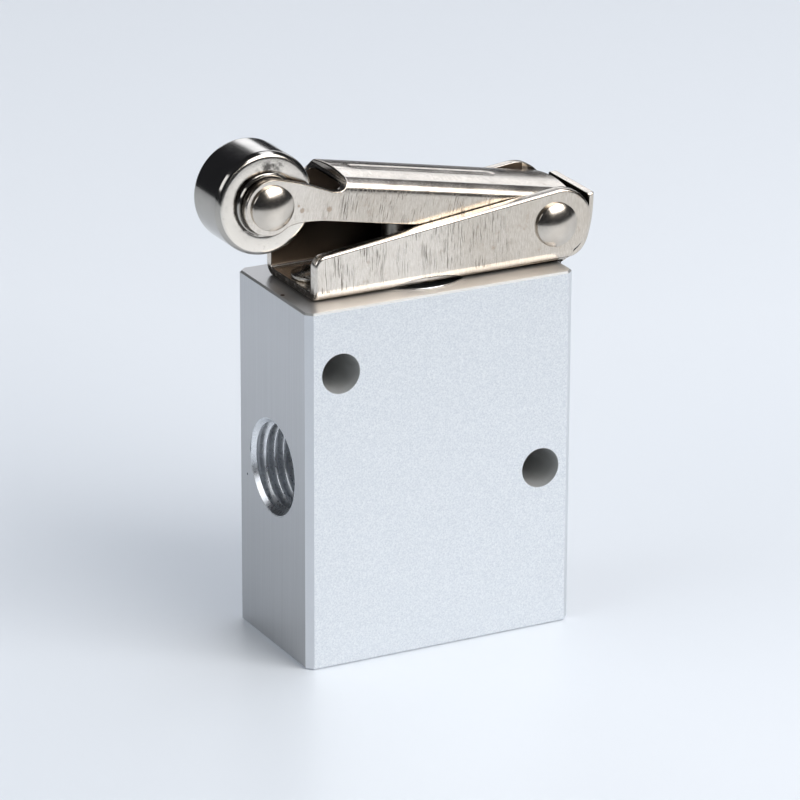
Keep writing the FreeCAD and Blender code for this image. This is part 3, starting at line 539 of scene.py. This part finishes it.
def turnedMetal(name, colours, rough):
    # Brass, bronze or aluminium from the lathe: fine rings about the upright axis
    material, tree, place = newMaterial(name)[:3]
    drawn = addNode(tree, "VectorMath", place, (4.0, 4.0, 0.1), operation="DIVIDE")
    rings = addNode(tree, "TexNoise", drawn, 1.0)
    share = addNode(tree, "MapRange", rings, *noiseMiddle, 0.0, 1.0)
    pair = [toLinear(shade) for shade in colours]
    shadeMaterial(tree, {
        "Base Color": addNode(tree, "Mix", share, *pair, data_type="RGBA"),
        "Roughness": addNode(tree, "MapRange", rings, *noiseMiddle, rough, rough + 0.12),
        "Metallic": 1.0,
        "Normal": addNode(tree, "Bump", {"Height": rings, "Strength": 0.2, "Distance": 0.01 * mm}),
    })
    return material


def mouldedRubber():
    # Nitrile rubber: black, dull, with a faint bloom
    material, tree, place = newMaterial("nitrileRubber")[:3]
    bloom = addNode(tree, "TexNoise", place, 1 / 0.6, 3.0)
    share = addNode(tree, "MapRange", bloom, *noiseMiddle, 0.0, 1.0)
    pair = [toLinear(shade) for shade in ("#151515", "#232323")]
    shadeMaterial(tree, {
        "Base Color": addNode(tree, "Mix", share, *pair, data_type="RGBA"),
        "Roughness": addNode(tree, "MapRange", bloom, *noiseMiddle, 0.5, 0.65),
        "Normal": addNode(tree, "Bump", {"Height": bloom, "Strength": 0.1, "Distance": 0.01 * mm}),
    })
    return material


# inside: how far from the middle a wall's inner side is; the inner sides are painted with shade. The scratches
# fade out over scored and the plating darkens over tanned, both along the plate from the pivot. A spill is centre
# and size.
# Past gapFrom, faces that look back are painted with the shadow of the gap before the stop tab; the lever has
# none.
plates = {
    "bracket": {
        "tilt": 0.0, "inside": 6.2, "scored": (-4.5, -9.0), "tanned": (-20.0, -12.0),
        "channel": "down", "gapFrom": 20.6, "spills": (),
    },
    "lever": {
        "tilt": leverTilt, "inside": 4.5, "scored": (-36.0, -31.0), "tanned": (-38.0, -28.0),
        "channel": "up", "gapFrom": 100.0,
        "spills": (((-18.0, -5.6, 62.5), 0.4), ((-18.5, -5.6, 63.2), 0.25), ((-14.1, -5.6, 62.1), 0.5)),
    },
}
# grain: the size in mm of a turning line along x, y and z, drawn wide enough to show
steels = {
    "roller": {
        "colours": ("#c0bbb4", "#b3afa8"), "rough": (0.12, 0.17), "grain": (3.0, 0.12, 3.0),
        "face": {
            "colour": "#ebe4da", "pitColour": "#7d766c", "pit": 0.45, "pitDepth": 0.03,
            "pitShare": 0.35, "duller": 0.05, "dirtColour": "#231f1c",
            # painted shade: a ragged dark arc in the hub's corner, and dark smears on the face above it that stand
            # for a painted reflection, each as its centre from the axle, its size, how soft its edge is, and how
            # dark it gets
            "dirt": (
                ((-0.38, 0.0, 0.16), 4.3, 0.12, 0.95), ((0.2, 0.0, 4.85), 0.75, 0.35, 0.85),
                ((1.6, 0.0, 4.7), 0.5, 0.35, 0.75), ((-1.2, 0.0, 4.75), 0.25, 0.3, 0.5),
            ),
        },
    },
    "rivet": {"colours": ("#dad2c7", "#c6bdb2"), "rough": (0.15, 0.24), "grain": (0.3, 0.3, 0.3)},
    "screw": {"colours": ("#c8c3bb", "#aba59c"), "rough": (0.18, 0.3), "grain": (0.5, 0.5, 0.5)},
    # painted shade: the plunger's colours are darkened for the shade it sits in under the lever
    "plunger": {"colours": ("#9b9892", "#8d8a85"), "rough": (0.25, 0.35), "grain": (3.0, 3.0, 0.12)},
    "spring": {"colours": ("#8a8a8c", "#77777a"), "rough": (0.25, 0.35), "grain": (0.5, 0.5, 0.5)},
    "thread": {"colours": ("#f6f8fa", "#e8eaed"), "rough": (0.24, 0.34), "grain": (0.5, 0.5, 0.5)},
    "lip": {"colours": ("#f2f3f4", "#e4e6e8"), "rough": (0.1, 0.16), "grain": (0.5, 0.5, 0.5)},
}
blockMaterial = blockAluminium()
bracketMaterial = pressedNickel("pressedNickelBracket", plates["bracket"])
leverMaterial = pressedNickel("pressedNickelLever", plates["lever"])
rollerMaterial = polishedSteel("polishedRollerSteel", steels["roller"])
rivetMaterial = polishedSteel("polishedRivetSteel", steels["rivet"])
screwMaterial = polishedSteel("zincPlatedScrew", steels["screw"])
shadedPlungerMaterial = polishedSteel("groundPlungerSteel", steels["plunger"])
springMaterial = polishedSteel("drawnSpringSteel", steels["spring"])
# the same bright cut as on polished steel, but in aluminium
threadMaterial = polishedSteel("cutAluminiumThread", steels["thread"])
lipMaterial = polishedSteel("brightCutAluminium", steels["lip"])
brassMaterial = turnedMetal("turnedBrass", ("#c7a05a", "#b58d48"), 0.25)
bronzeMaterial = turnedMetal("oilyBronze", ("#8d6a3f", "#785834"), 0.4)
spoolMaterial = turnedMetal("turnedAluminium", ("#d2d4d6", "#c2c4c7"), 0.28)
rubberMaterial = mouldedRubber()
print("materials made")


# The block keeps its own shape, and the pieces inside it too
nodeFinishes = {
    "valve_body": blockMaterial,
    "plunger_guide": spoolMaterial,
    "guide_seal": rubberMaterial,
    "valve_sleeve": brassMaterial,
    "sleeve_seal_lower": rubberMaterial,
    "sleeve_seal_middle": rubberMaterial,
    "sleeve_seal_upper": rubberMaterial,
    "spool_seal_lower": rubberMaterial,
    "spool_seal_middle": rubberMaterial,
    "spool_seal_upper": rubberMaterial,
    "return_spring": springMaterial,
    "spool": spoolMaterial,
    "plunger": shadedPlungerMaterial,
    "roller_bush": bronzeMaterial,
}
for nodeName, material in nodeFinishes.items():
    node = frame["nodes"][nodeName]
    node.data.materials.clear()
    node.data.materials.append(material)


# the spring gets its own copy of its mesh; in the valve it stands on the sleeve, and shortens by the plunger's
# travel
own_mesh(frame["nodes"]["return_spring"])


def makeThread(name, mount):
    # the port's countersunk mouth, and the round crested ridges of the pipe thread behind it
    thread = {
        "pitch": 1.337, "crest": 5.72, "round": 0.17, "sink": 0.06, "turnSteps": 72,
        "mouth": 0.55, "mouthStart": 0.03, "mouthLand": 0.06, "mouthEnd": 0.45,
        "first": 0.55, "last": 0.5, "spare": 0.8, "runIn": 0.4, "runOut": 0.3, "thinnest": 0.02,
    }
    bore = mount["dims"]["r_mm"]
    root = bore + thread["sink"]
    axis = Vector(mount["axis"])
    face = blockHigh.x if axis.x > 0 else -blockLow.x
    height = (Vector(mount["pos_m"]) / mm).z
    steps = thread["turnSteps"]
    work = bmesh.new()

    def place(angle, radius, into):
        corner = (axis.x * (face - into), radius * math.cos(angle), height + radius * math.sin(angle))
        return work.verts.new(corner)

    lip = bore - 0.01
    mouth = thread["mouth"]
    ring = (
        (root, thread["mouthStart"]), (lip, thread["mouthStart"]), (lip - mouth, mouth),
        (lip - mouth, mouth + thread["mouthLand"]), (root, mouth + thread["mouthEnd"]),
    )
    sections = [
        [place(2 * math.pi * step / steps, radius, into) for radius, into in ring]
        for step in range(steps)
    ]
    joinRings(work, sections, True)

    # the ridge's own section, from its root over the round crest to its root
    tip = thread["round"]
    foot = thread["pitch"] / 2 * 0.97
    arc = arcPoints((0, 0), 1, 152.5, 27.5, 8)
    ridge = [(thread["crest"] + tip - tip * b, tip * a) for a, b in arc]
    ridge = [(root, -foot)] + ridge + [(root, foot)]
    length = mount["dims"]["length_mm"] - thread["first"] - thread["last"]
    turns = length / thread["pitch"] - thread["spare"]
    sections = []
    for step in range(int(turns * steps) + 1):
        turn = step / steps
        middle = thread["first"] + turn * thread["pitch"]
        # the ridge rises over its first part of a turn, and sinks over its last
        full = min(1.0, turn / thread["runIn"], (turns - turn) / thread["runOut"])
        full = max(full, thread["thinnest"])
        sections.append([
            place(2 * math.pi * turn, root - (root - radius) * full, middle + into)
            for radius, into in ridge
        ])
    joinRings(work, sections)
    finishPiece(meshObject(name, work), "housing", threadMaterial, smooth=36)


for mount in frame["record"]["mounts"]:
    if mount["kind"] == "threaded_hole":
        makeThread(mount["name"] + "_thread", mount)


def makeLip():
    # the counterbore's mouth under the bracket, and the bright edge that the cutter left on it
    lip = {
        "inner": 8.05, "outer": 8.84, "depth": 0.3, "raised": 0.012, "sunk": 0.02, "bevel": 0.03,
        "bead": 0.095, "beadIn": 0.1, "spread": 42.0, "halfSteps": 20,
    }
    top = blockHigh.z
    low = lip["inner"]
    high = lip["outer"]
    bevel = lip["bevel"]
    raised = top + lip["raised"]
    radius = low + lip["beadIn"]
    profile = [
        (low, top - lip["depth"]), (high, top - lip["depth"]), (high, top), (high - bevel, raised),
        (low + bevel, raised), (low, top - lip["sunk"]),
    ]
    finishPiece(lathe("counterbore_mouth", profile, 128), "housing", blockMaterial)
    for name, middle in (("front", -90.0), ("back", 90.0)):
        work = bmesh.new()
        rings = []
        # each bead is thickest in the middle of its run, and thins out to its ends
        for step in range(2 * lip["halfSteps"] + 1):
            share = step / lip["halfSteps"] - 1
            turn = math.radians(middle + lip["spread"] * share)
            size = lip["bead"] * math.sqrt(max(1 - share * share, 0.01))
            rings.append([
                work.verts.new(((radius + a) * math.cos(turn), (radius + a) * math.sin(turn), top + b))
                for a, b in arcPoints((0, 0), size, 0, 315, 7)
            ])
        joinRings(work, rings)
        piece = meshObject("counterbore_lip_" + name, work)
        finishPiece(piece, "housing", lipMaterial, smooth=60)


makeLip()
print("block and threads made")


def channelSection(half, sheet, wall, outer, high):
    # the bracket seen from its end: a base whose underside is at 0, and walls up to high
    flat = half - outer
    inner = outer - sheet
    within = flat - (wall - sheet)
    section = [(-half, high)]
    section += arcPoints((-flat, outer), outer, 180, 270, 10)
    section += arcPoints((flat, outer), outer, 270, 360, 10)
    section += [(half, high), (half - wall, high)]
    section += arcPoints((within, outer), inner, 360, 270, 6)
    section += arcPoints((-within, outer), inner, 270, 180, 6)
    section += [(-half + wall, high)]
    return section


def sweep(name, sections, stations):
    # closed sections of equal length, one at each station along x
    work = bmesh.new()
    rings = []
    for along, section in zip(stations, sections):
        rings.append([work.verts.new((along, a, b)) for a, b in section])
    joinRings(work, rings)
    return meshObject(name, work)


def leverSection(lever, along):
    # the web is crowned across its width, with a shallow groove pressed along its middle
    flat = lever["half"] - lever["bend"]
    edge = lever["top"] - lever["crown"]
    slope = math.degrees(math.atan(2 * lever["crown"] / flat))
    groove = lever["groove"]
    beyond = max(groove["start"] - along, along - groove["end"], 0.0)

    def height(across):
        apart = math.hypot(across, beyond) - (groove["half"] - groove["wall"])
        share = min(max(1 - apart / groove["wall"], 0.0), 1.0)
        dent = groove["depth"] * share * share * (3 - 2 * share)
        return lever["top"] - lever["crown"] * (across / flat) ** 2 - dent

    # the section's points across the web are closest at the groove's walls
    marks = [0, 0.3, 0.5, 0.6, 0.7, 0.8, 0.9, 1.0, 1.1, 1.2, 1.3, 1.5, 1.8, 2.2, 2.6, 3.0, 3.4]
    marks = [-mark for mark in reversed(marks[1:])] + marks
    centre = edge - lever["bend"]
    inner = lever["bend"] - lever["sheet"]
    half = lever["half"]
    wall = half - lever["sheet"]
    low = lever["low"]
    section = [(-half, low)]
    section += arcPoints((-flat, centre), lever["bend"], 180, 90 + slope, 12)
    section += [(mark, height(mark)) for mark in marks]
    section += arcPoints((flat, centre), lever["bend"], 90 - slope, 0, 12)
    section += [(half, low), (wall, low)]
    section += arcPoints((flat, centre), inner, 0, 90 - slope, 6)
    section += [(mark, height(mark) - lever["sheet"]) for mark in reversed(marks)]
    section += arcPoints((-flat, centre), inner, 90 + slope, 180, 6)
    section += [(-wall, low)]
    return section


def makeLever():
    lever = {
        "half": 5.6, "sheet": 1.2, "bend": 1.7, "top": 4.68, "crown": 0.34, "low": -5.0,
        "webStart": 31.3, "dip": (33.0, 2.58), "neck": (37.4, 3.4), "eye": 3.8,
        "skirt": 1.45, "tail": 2.77, "pivotRound": 4.0, "rivet": 2.0, "play": 0.03, "edge": 0.22,
        "groove": {"start": -27.4, "end": -7.6, "half": 1.25, "wall": 0.55, "depth": 0.09},
    }
    arm = -leverArm
    dipX = -lever["dip"][0]
    dipZ = lever["dip"][1]
    web = -lever["webStart"]
    eye = lever["eye"]
    skirt = -lever["skirt"]
    pivotRound = lever["pivotRound"]
    foot = math.degrees(math.asin(lever["skirt"] / pivotRound))
    tailFoot = lever["tail"]
    # the channel, cut to the side outline of its walls
    outline = [(dipX, skirt), (dipX, dipZ)]
    rise = [(dipX, dipZ), (web - 0.75, dipZ + 0.12), (web - 0.2, dipZ + 0.62), (web, 3.9)]
    outline += smoothCurve(rise, 5)[1:]
    outline += [(web, 5.0), (tailFoot, 5.0), (tailFoot, skirt)]
    outline += arcPoints((0, 0), pivotRound, -foot, -180 + foot, 16)[1:]
    groove = lever["groove"]
    steps = [0.2 * step for step in range(-1, 9)]
    stations = [dipX - 1] + [groove["start"] - step for step in reversed(steps)]
    stations += [-20.0, -14.0] + [groove["end"] + step for step in steps] + [tailFoot + 1]
    piece = sweep("lever_plate", [leverSection(lever, along) for along in stations], stations)
    combine(piece, prism("tool", outline, "y", -8, 8), "INTERSECT")
    # the two arms that run on to the roller's eyes
    side = smoothCurve([(dipX, dipZ), (-lever["neck"][0], lever["neck"][1]), (arm + 0.6, eye - 0.05)], 8)
    side += arcPoints((arm, 0), eye, 82, 300, 40)[1:]
    under = [side[-1], (arm + 3.1, -2.35), (arm + 4.9, -1.78), (dipX - 1.2, skirt - 0.04), (dipX, skirt)]
    side += smoothCurve(under, 6)[1:]
    for near in (-1, 1):
        faces = sorted((near * lever["half"], near * (lever["half"] - lever["sheet"])))
        combine(piece, prism("tool", side, "y", *faces), "UNION")
    weld(piece, 0.02)
    for spot in ((arm, 0), (0, 0)):
        hole = arcPoints(spot, lever["rivet"] + lever["play"], 0, 360, 48)[:-1]
        combine(piece, prism("tool", hole, "y", -8, 8), "DIFFERENCE")
    roundEdges(piece, lever["edge"], outward=1, inner=0.6)
    piece.data.transform(Matrix.Translation(pivot) @ Matrix.Rotation(leverTilt, 4, "Y"))
    finishPiece(piece, "lever", leverMaterial, ["lever"])


makeLever()
print("lever made")


def makeBracket():
    bracket = {
        "half": 7.3, "sheet": 1.2, "wall": 1.45, "bend": 1.7, "high": 12.0, "start": -17.0,
        "end": 20.05, "ear": 4.63, "earShift": (0.8, 0.1), "slope": 6.6, "corner": 1.6, "hole": 6.35,
        "screwAt": 13.85, "screwHole": 1.7, "rivet": 2.0, "edge": 0.42, "tabHalf": 5.7, "tabFar": 5.1,
        "tab": (
            (21.3, 0.0), (22.5, 0.25), (23.5, 0.9), (24.3, 2.1), (24.9, 4.2), (25.2, 6.3), (25.3, 8.7),
        ),
    }
    top = blockHigh.z
    px = pivot.x
    pz = pivot.z - top
    ear = bracket["ear"]
    slope = math.radians(bracket["slope"])
    start = bracket["start"]
    earX = px + bracket["earShift"][0]
    earZ = pz + bracket["earShift"][1]
    leftTop = earZ + ear / math.cos(slope) - (earX - start) * math.tan(slope)
    corner = bracket["corner"]
    # the ears' side outline, from the right end round the pivot to the left corner
    end = bracket["end"]
    roundEnd = arcPoints((earX, earZ), ear, -62, 90 + bracket["slope"], 40)
    outline = [(start, -1.0), (end, -1.0)]
    outline += smoothCurve([(end, 0.05), (end + 0.7, 0.3), (end + 1.15, 0.8), roundEnd[0]], 4)
    outline += roundEnd[1:]
    cornerX = start + corner
    cornerZ = leftTop - corner / math.cos(slope) + corner * math.tan(slope)
    outline += arcPoints((cornerX, cornerZ), corner, 90 + bracket["slope"], 180, 8)
    section = channelSection(
        bracket["half"], bracket["sheet"], bracket["wall"], bracket["bend"], bracket["high"]
    )
    piece = prism("bracket_plate", section, "x", start - 1, px + ear + 2)
    combine(piece, prism("tool", outline, "y", -9, 9), "INTERSECT")
    # the stop tab
    outer = smoothCurve(bracket["tab"], 5)
    inner = []
    for index, spot in enumerate(outer):
        run = Vector(outer[min(index + 1, len(outer) - 1)]) - Vector(outer[max(index - 1, 0)])
        inner.append(tuple(Vector(spot) + Vector((-run.y, run.x)).normalized() * bracket["sheet"]))
    inner[0] = (outer[0][0], bracket["sheet"])
    inner[-1] = (inner[-1][0], outer[-1][1])
    root = end - bracket["sheet"]
    tab = [(root, 0.0)] + outer + inner[::-1] + [(root, bracket["sheet"])]
    combine(piece, prism("tool", tab, "y", -bracket["tabHalf"], bracket["tabFar"]), "UNION")
    weld(piece, 0.02)
    hole = arcPoints((0, 0), bracket["hole"], 0, 360, 96)[:-1]
    combine(piece, prism("tool", hole, "z", -1, bracket["bend"]), "DIFFERENCE")
    for side in (-1, 1):
        small = arcPoints((side * bracket["screwAt"], 0), bracket["screwHole"], 0, 360, 48)[:-1]
        combine(piece, prism("tool", small, "z", -1, 2), "DIFFERENCE")
    rivetHole = arcPoints((px, pz), bracket["rivet"] + 0.02, 0, 360, 48)[:-1]
    combine(piece, prism("tool", rivetHole, "y", -9, 9), "DIFFERENCE")
    roundEdges(piece, bracket["edge"], outward=-1, inner=0.35)
    piece.data.transform(Matrix.Translation((0, 0, top)))
    finishPiece(piece, "housing", bracketMaterial, ["bracket"])


makeBracket()
print("bracket made")


def domePoints(radius, rise, base, steps=10):
    # from the rim of a dome to its crown
    sphere = (radius ** 2 + rise ** 2) / (2 * rise)
    start = math.asin(radius / sphere)
    points = []
    for step in range(1, steps + 1):
        angle = start * (1 - step / steps)
        points.append((sphere * math.sin(angle), base + rise - sphere + sphere * math.cos(angle)))
    points[-1] = (0, base + rise)
    return points


def makeRivet(name, body, half, centre):
    rivet = {"shank": 1.99, "head": 3.0, "rim": 0.32, "dome": 0.78, "round": 0.2}
    head = rivet["head"]
    corner = rivet["round"]
    rim = half + rivet["rim"]
    lean = 2 * math.degrees(math.atan2(rivet["dome"], head - corner))
    upper = [(rivet["shank"], half), (head - 0.06, half), (head, half + 0.06)]
    upper += arcPoints((head - corner, rim), corner, 0, 90 - lean, 8)
    upper += domePoints(upper[-1][0], rivet["dome"], upper[-1][1], 12)
    profile = [(radius, -height) for radius, height in reversed(upper)] + upper
    piece = lathe(name, profile, 80)
    piece.data.transform(Matrix.Translation(centre) @ Matrix.Rotation(math.pi / 2, 4, "X"))
    finishPiece(piece, body, rivetMaterial, [name.replace("_pin", "_rivet")], 40)


makeRivet("pivot_pin", "housing", 7.3, pivot)
makeRivet("roller_pin", "lever", 5.6, rollerAxle)
print("rivets made")


def makeRoller():
    roller = {
        "radius": 7.0, "half": 3.82, "edge": 0.9, "bore": 3.02, "hub": 3.95, "hubHeight": 4.2,
        "groove": ((0.8, 0.0), (0.5, -0.02), (0.36, -0.05), (0.22, -0.03), (0.1, 0.05)),
        "rim": ((0.0, -0.15), (-0.04, -0.04), (-0.12, 0.0)), "chamfer": 0.15,
    }
    radius = roller["radius"]
    half = roller["half"]
    edge = roller["edge"]
    hub = roller["hub"]
    top = roller["hubHeight"]
    upper = [(radius, 0.0)] + arcPoints((radius - edge, half - edge), edge, 0, 90, 8)
    # a shallow groove about the hub, the hub's rounded rim, and the bore
    upper += [(hub + out, half + rise) for out, rise in roller["groove"]]
    upper += [(hub + out, top + rise) for out, rise in roller["rim"]]
    upper += [(roller["bore"] + roller["chamfer"], top), (roller["bore"], top - roller["chamfer"])]
    lower = [(r, -z) for r, z in reversed(upper[1:])]
    piece = lathe("roller_ring", lower + upper, 160)
    piece.data.transform(Matrix.Translation(rollerAxle) @ Matrix.Rotation(math.pi / 2, 4, "X"))
    finishPiece(piece, "roller", rollerMaterial, ["roller"], 35)


makeRoller()
print("roller made")


def makeScrew(name, x):
    screw = {
        "head": 2.8, "rim": 0.6, "dome": 0.75, "shank": 1.48, "length": 6.0, "sheet": 1.2, "turned": 20.0,
        "slot": 0.72, "slotLength": 3.1, "slotDepth": 1.2, "edge": 0.06,
    }
    head = screw["head"]
    shank = screw["shank"]
    tip = -screw["length"]
    profile = [(0, tip), (shank - 0.2, tip), (shank, tip + 0.3), (shank, 0)]
    profile += [(head - 0.15, 0), (head, 0.15), (head, screw["rim"])]
    profile += domePoints(head, screw["dome"], screw["rim"])
    piece = lathe(name, profile, 64)
    crown = screw["rim"] + screw["dome"]
    long = screw["slotLength"] / 2
    wide = screw["slot"] / 2
    for a, b in ((wide, long), (long, wide)):
        slot = [(-a, -b), (a, -b), (a, b), (-a, b)]
        combine(piece, prism("tool", slot, "z", crown - screw["slotDepth"], crown + 1), "DIFFERENCE")
    roundEdges(piece, screw["edge"], 40, 2)
    seat = Matrix.Translation((x, 0, blockHigh.z + screw["sheet"]))
    piece.data.transform(seat @ Matrix.Rotation(math.radians(screw["turned"]), 4, "Z"))
    finishPiece(piece, "housing", screwMaterial, [name.replace("base_", "bracket_")], 35)


makeScrew("base_screw_left", -13.85)
makeScrew("base_screw_right", 13.85)
print("screws made")


# Floor, light and camera

def makeFloor():
    floor = {
        "half": 1300.0, "front": -270.0, "behind": 520.0, "colours": ("#d8dde3", "#e1e5ea"),
        "roughness": 0.4, "cloud": 220.0, "fade": 0.0014,
    }
    half = floor["half"]
    work = bmesh.new()
    corners = [
        work.verts.new((x, floor[y], 0))
        for x, y in ((-half, "front"), (half, "front"), (half, "behind"), (-half, "behind"))
    ]
    work.faces.new(corners)
    piece = meshObject("floor", work)
    piece.data.transform(Matrix.Scale(mm, 4))
    # matte board, with a painted light falloff: it gets a little paler away from the camera
    material, tree, place = newMaterial("matteBoard")[:3]
    spots = addNode(tree, "SeparateXYZ", place)
    far = addNode(tree, "Math", (spots, "X"), (spots, "Y"), operation="ADD")
    far = addNode(tree, "Math", far, floor["fade"], operation="MULTIPLY")
    clouds = addNode(tree, "TexNoise", place, 1 / floor["cloud"], 1.0)
    shade = addNode(tree, "Math", clouds, far, operation="ADD")
    shade = addNode(tree, "MapRange", shade, *noiseMiddle, 0.0, 1.0)
    colours = [toLinear(colour) for colour in floor["colours"]]
    shadeMaterial(tree, {
        "Base Color": addNode(tree, "Mix", shade, *colours, data_type="RGBA"),
        "Roughness": floor["roughness"],
    })
    piece.data.materials.append(material)


# azimuth 0 is in front of the object, and positive towards its right; sizes and distances in metres
lamps = {
    "keySoftbox": {
        "azimuth": 27, "elevation": 40, "distance": 1.0, "width": 0.74, "height": 0.72,
        "radiance": 4.9, "colour": "#fffdfa",
    },
    "topBox": {
        "azimuth": 90, "elevation": 64, "distance": 1.1, "width": 1.25, "height": 0.36,
        "radiance": 2.2, "colour": "#f0f5ff",
    },
    "backStrip": {
        "azimuth": 146, "elevation": 21, "distance": 1.2, "width": 1.3, "height": 0.29,
        "radiance": 1.9, "colour": "#f4f8ff",
    },
    "leftFill": {
        "azimuth": -92, "elevation": 30, "distance": 1.4, "width": 1.2, "height": 0.66,
        "radiance": 1.7, "colour": "#f8fbff",
    },
}
lampAim = Vector((0, 0, 0.035))  # half way up the valve


def makeLamp(name, lamp):
    turn = math.radians(lamp["azimuth"])
    rise = math.radians(lamp["elevation"])
    away = Vector((math.sin(turn) * math.cos(rise), -math.cos(turn) * math.cos(rise), math.sin(rise)))
    light = bpy.data.lights.new(name, "AREA")
    light.shape = "RECTANGLE"
    light.size = lamp["width"]
    light.size_y = lamp["height"]
    light.color = toLinear(lamp["colour"])[:3]
    light.energy = lamp["radiance"] * math.pi * lamp["width"] * lamp["height"]
    holder = bpy.data.objects.new(name, light)
    holder.location = lampAim + away * lamp["distance"]
    holder.rotation_euler = away.to_track_quat("Z", "Y").to_euler()
    bpy.context.scene.collection.objects.link(holder)


def makeWorld():
    # colour and strength of the light that bounces about, of the dark room that metal mirrors, and
    # of the pale surround that the camera sees past the floor
    studio = {"bounce": ("#f2f6fb", 0.43), "room": ("#35373c", 0.62), "surround": ("#e4eaf1", 1.0)}
    world = bpy.data.worlds.new("studio")
    bpy.context.scene.world = world
    world.use_nodes = True
    tree = world.node_tree
    tree.nodes.clear()
    backgrounds = {
        name: addNode(tree, "Background", toLinear(colour), strength)
        for name, (colour, strength) in studio.items()
    }
    rays = addNode(tree, "LightPath")
    seen = addNode(tree, "MixShader", (rays, "Is Glossy Ray"), backgrounds["bounce"], backgrounds["room"])
    seen = addNode(tree, "MixShader", (rays, "Is Camera Ray"), seen, backgrounds["surround"])
    addNode(tree, "OutputWorld", seen)


def makeCamera():
    view = {
        "azimuth": 27.47, "elevation": 20.44, "roll": 0.207,
        "distance": 678.5, "aim": (-0.8, 0.0, 31.7), "lens": 228.85, "sensor": 36.0,
    }
    turn = math.radians(view["azimuth"])
    drop = math.radians(view["elevation"])
    forward = Vector((
        math.sin(turn) * math.cos(drop), math.cos(turn) * math.cos(drop), -math.sin(drop)
    ))
    level = Vector((math.cos(turn), -math.sin(turn), 0))
    upright = level.cross(forward)
    roll = math.radians(view["roll"])
    right = level * math.cos(roll) + upright * math.sin(roll)
    up = right.cross(forward)
    data = bpy.data.cameras.new("camera")
    data.lens = view["lens"]
    data.sensor_width = view["sensor"]
    data.clip_start = 0.01
    data.clip_end = 20
    camera = bpy.data.objects.new("camera", data)
    spot = (Vector(view["aim"]) - forward * view["distance"]) * mm
    rotation = Matrix((right, up, -forward)).transposed().to_4x4()
    camera.matrix_world = Matrix.Translation(spot) @ rotation
    bpy.context.scene.collection.objects.link(camera)
    bpy.context.scene.camera = camera


makeFloor()
for lampName, lamp in lamps.items():
    makeLamp(lampName, lamp)
makeWorld()
makeCamera()
bpy.context.scene.view_settings.view_transform = "Standard"
print("stage made")
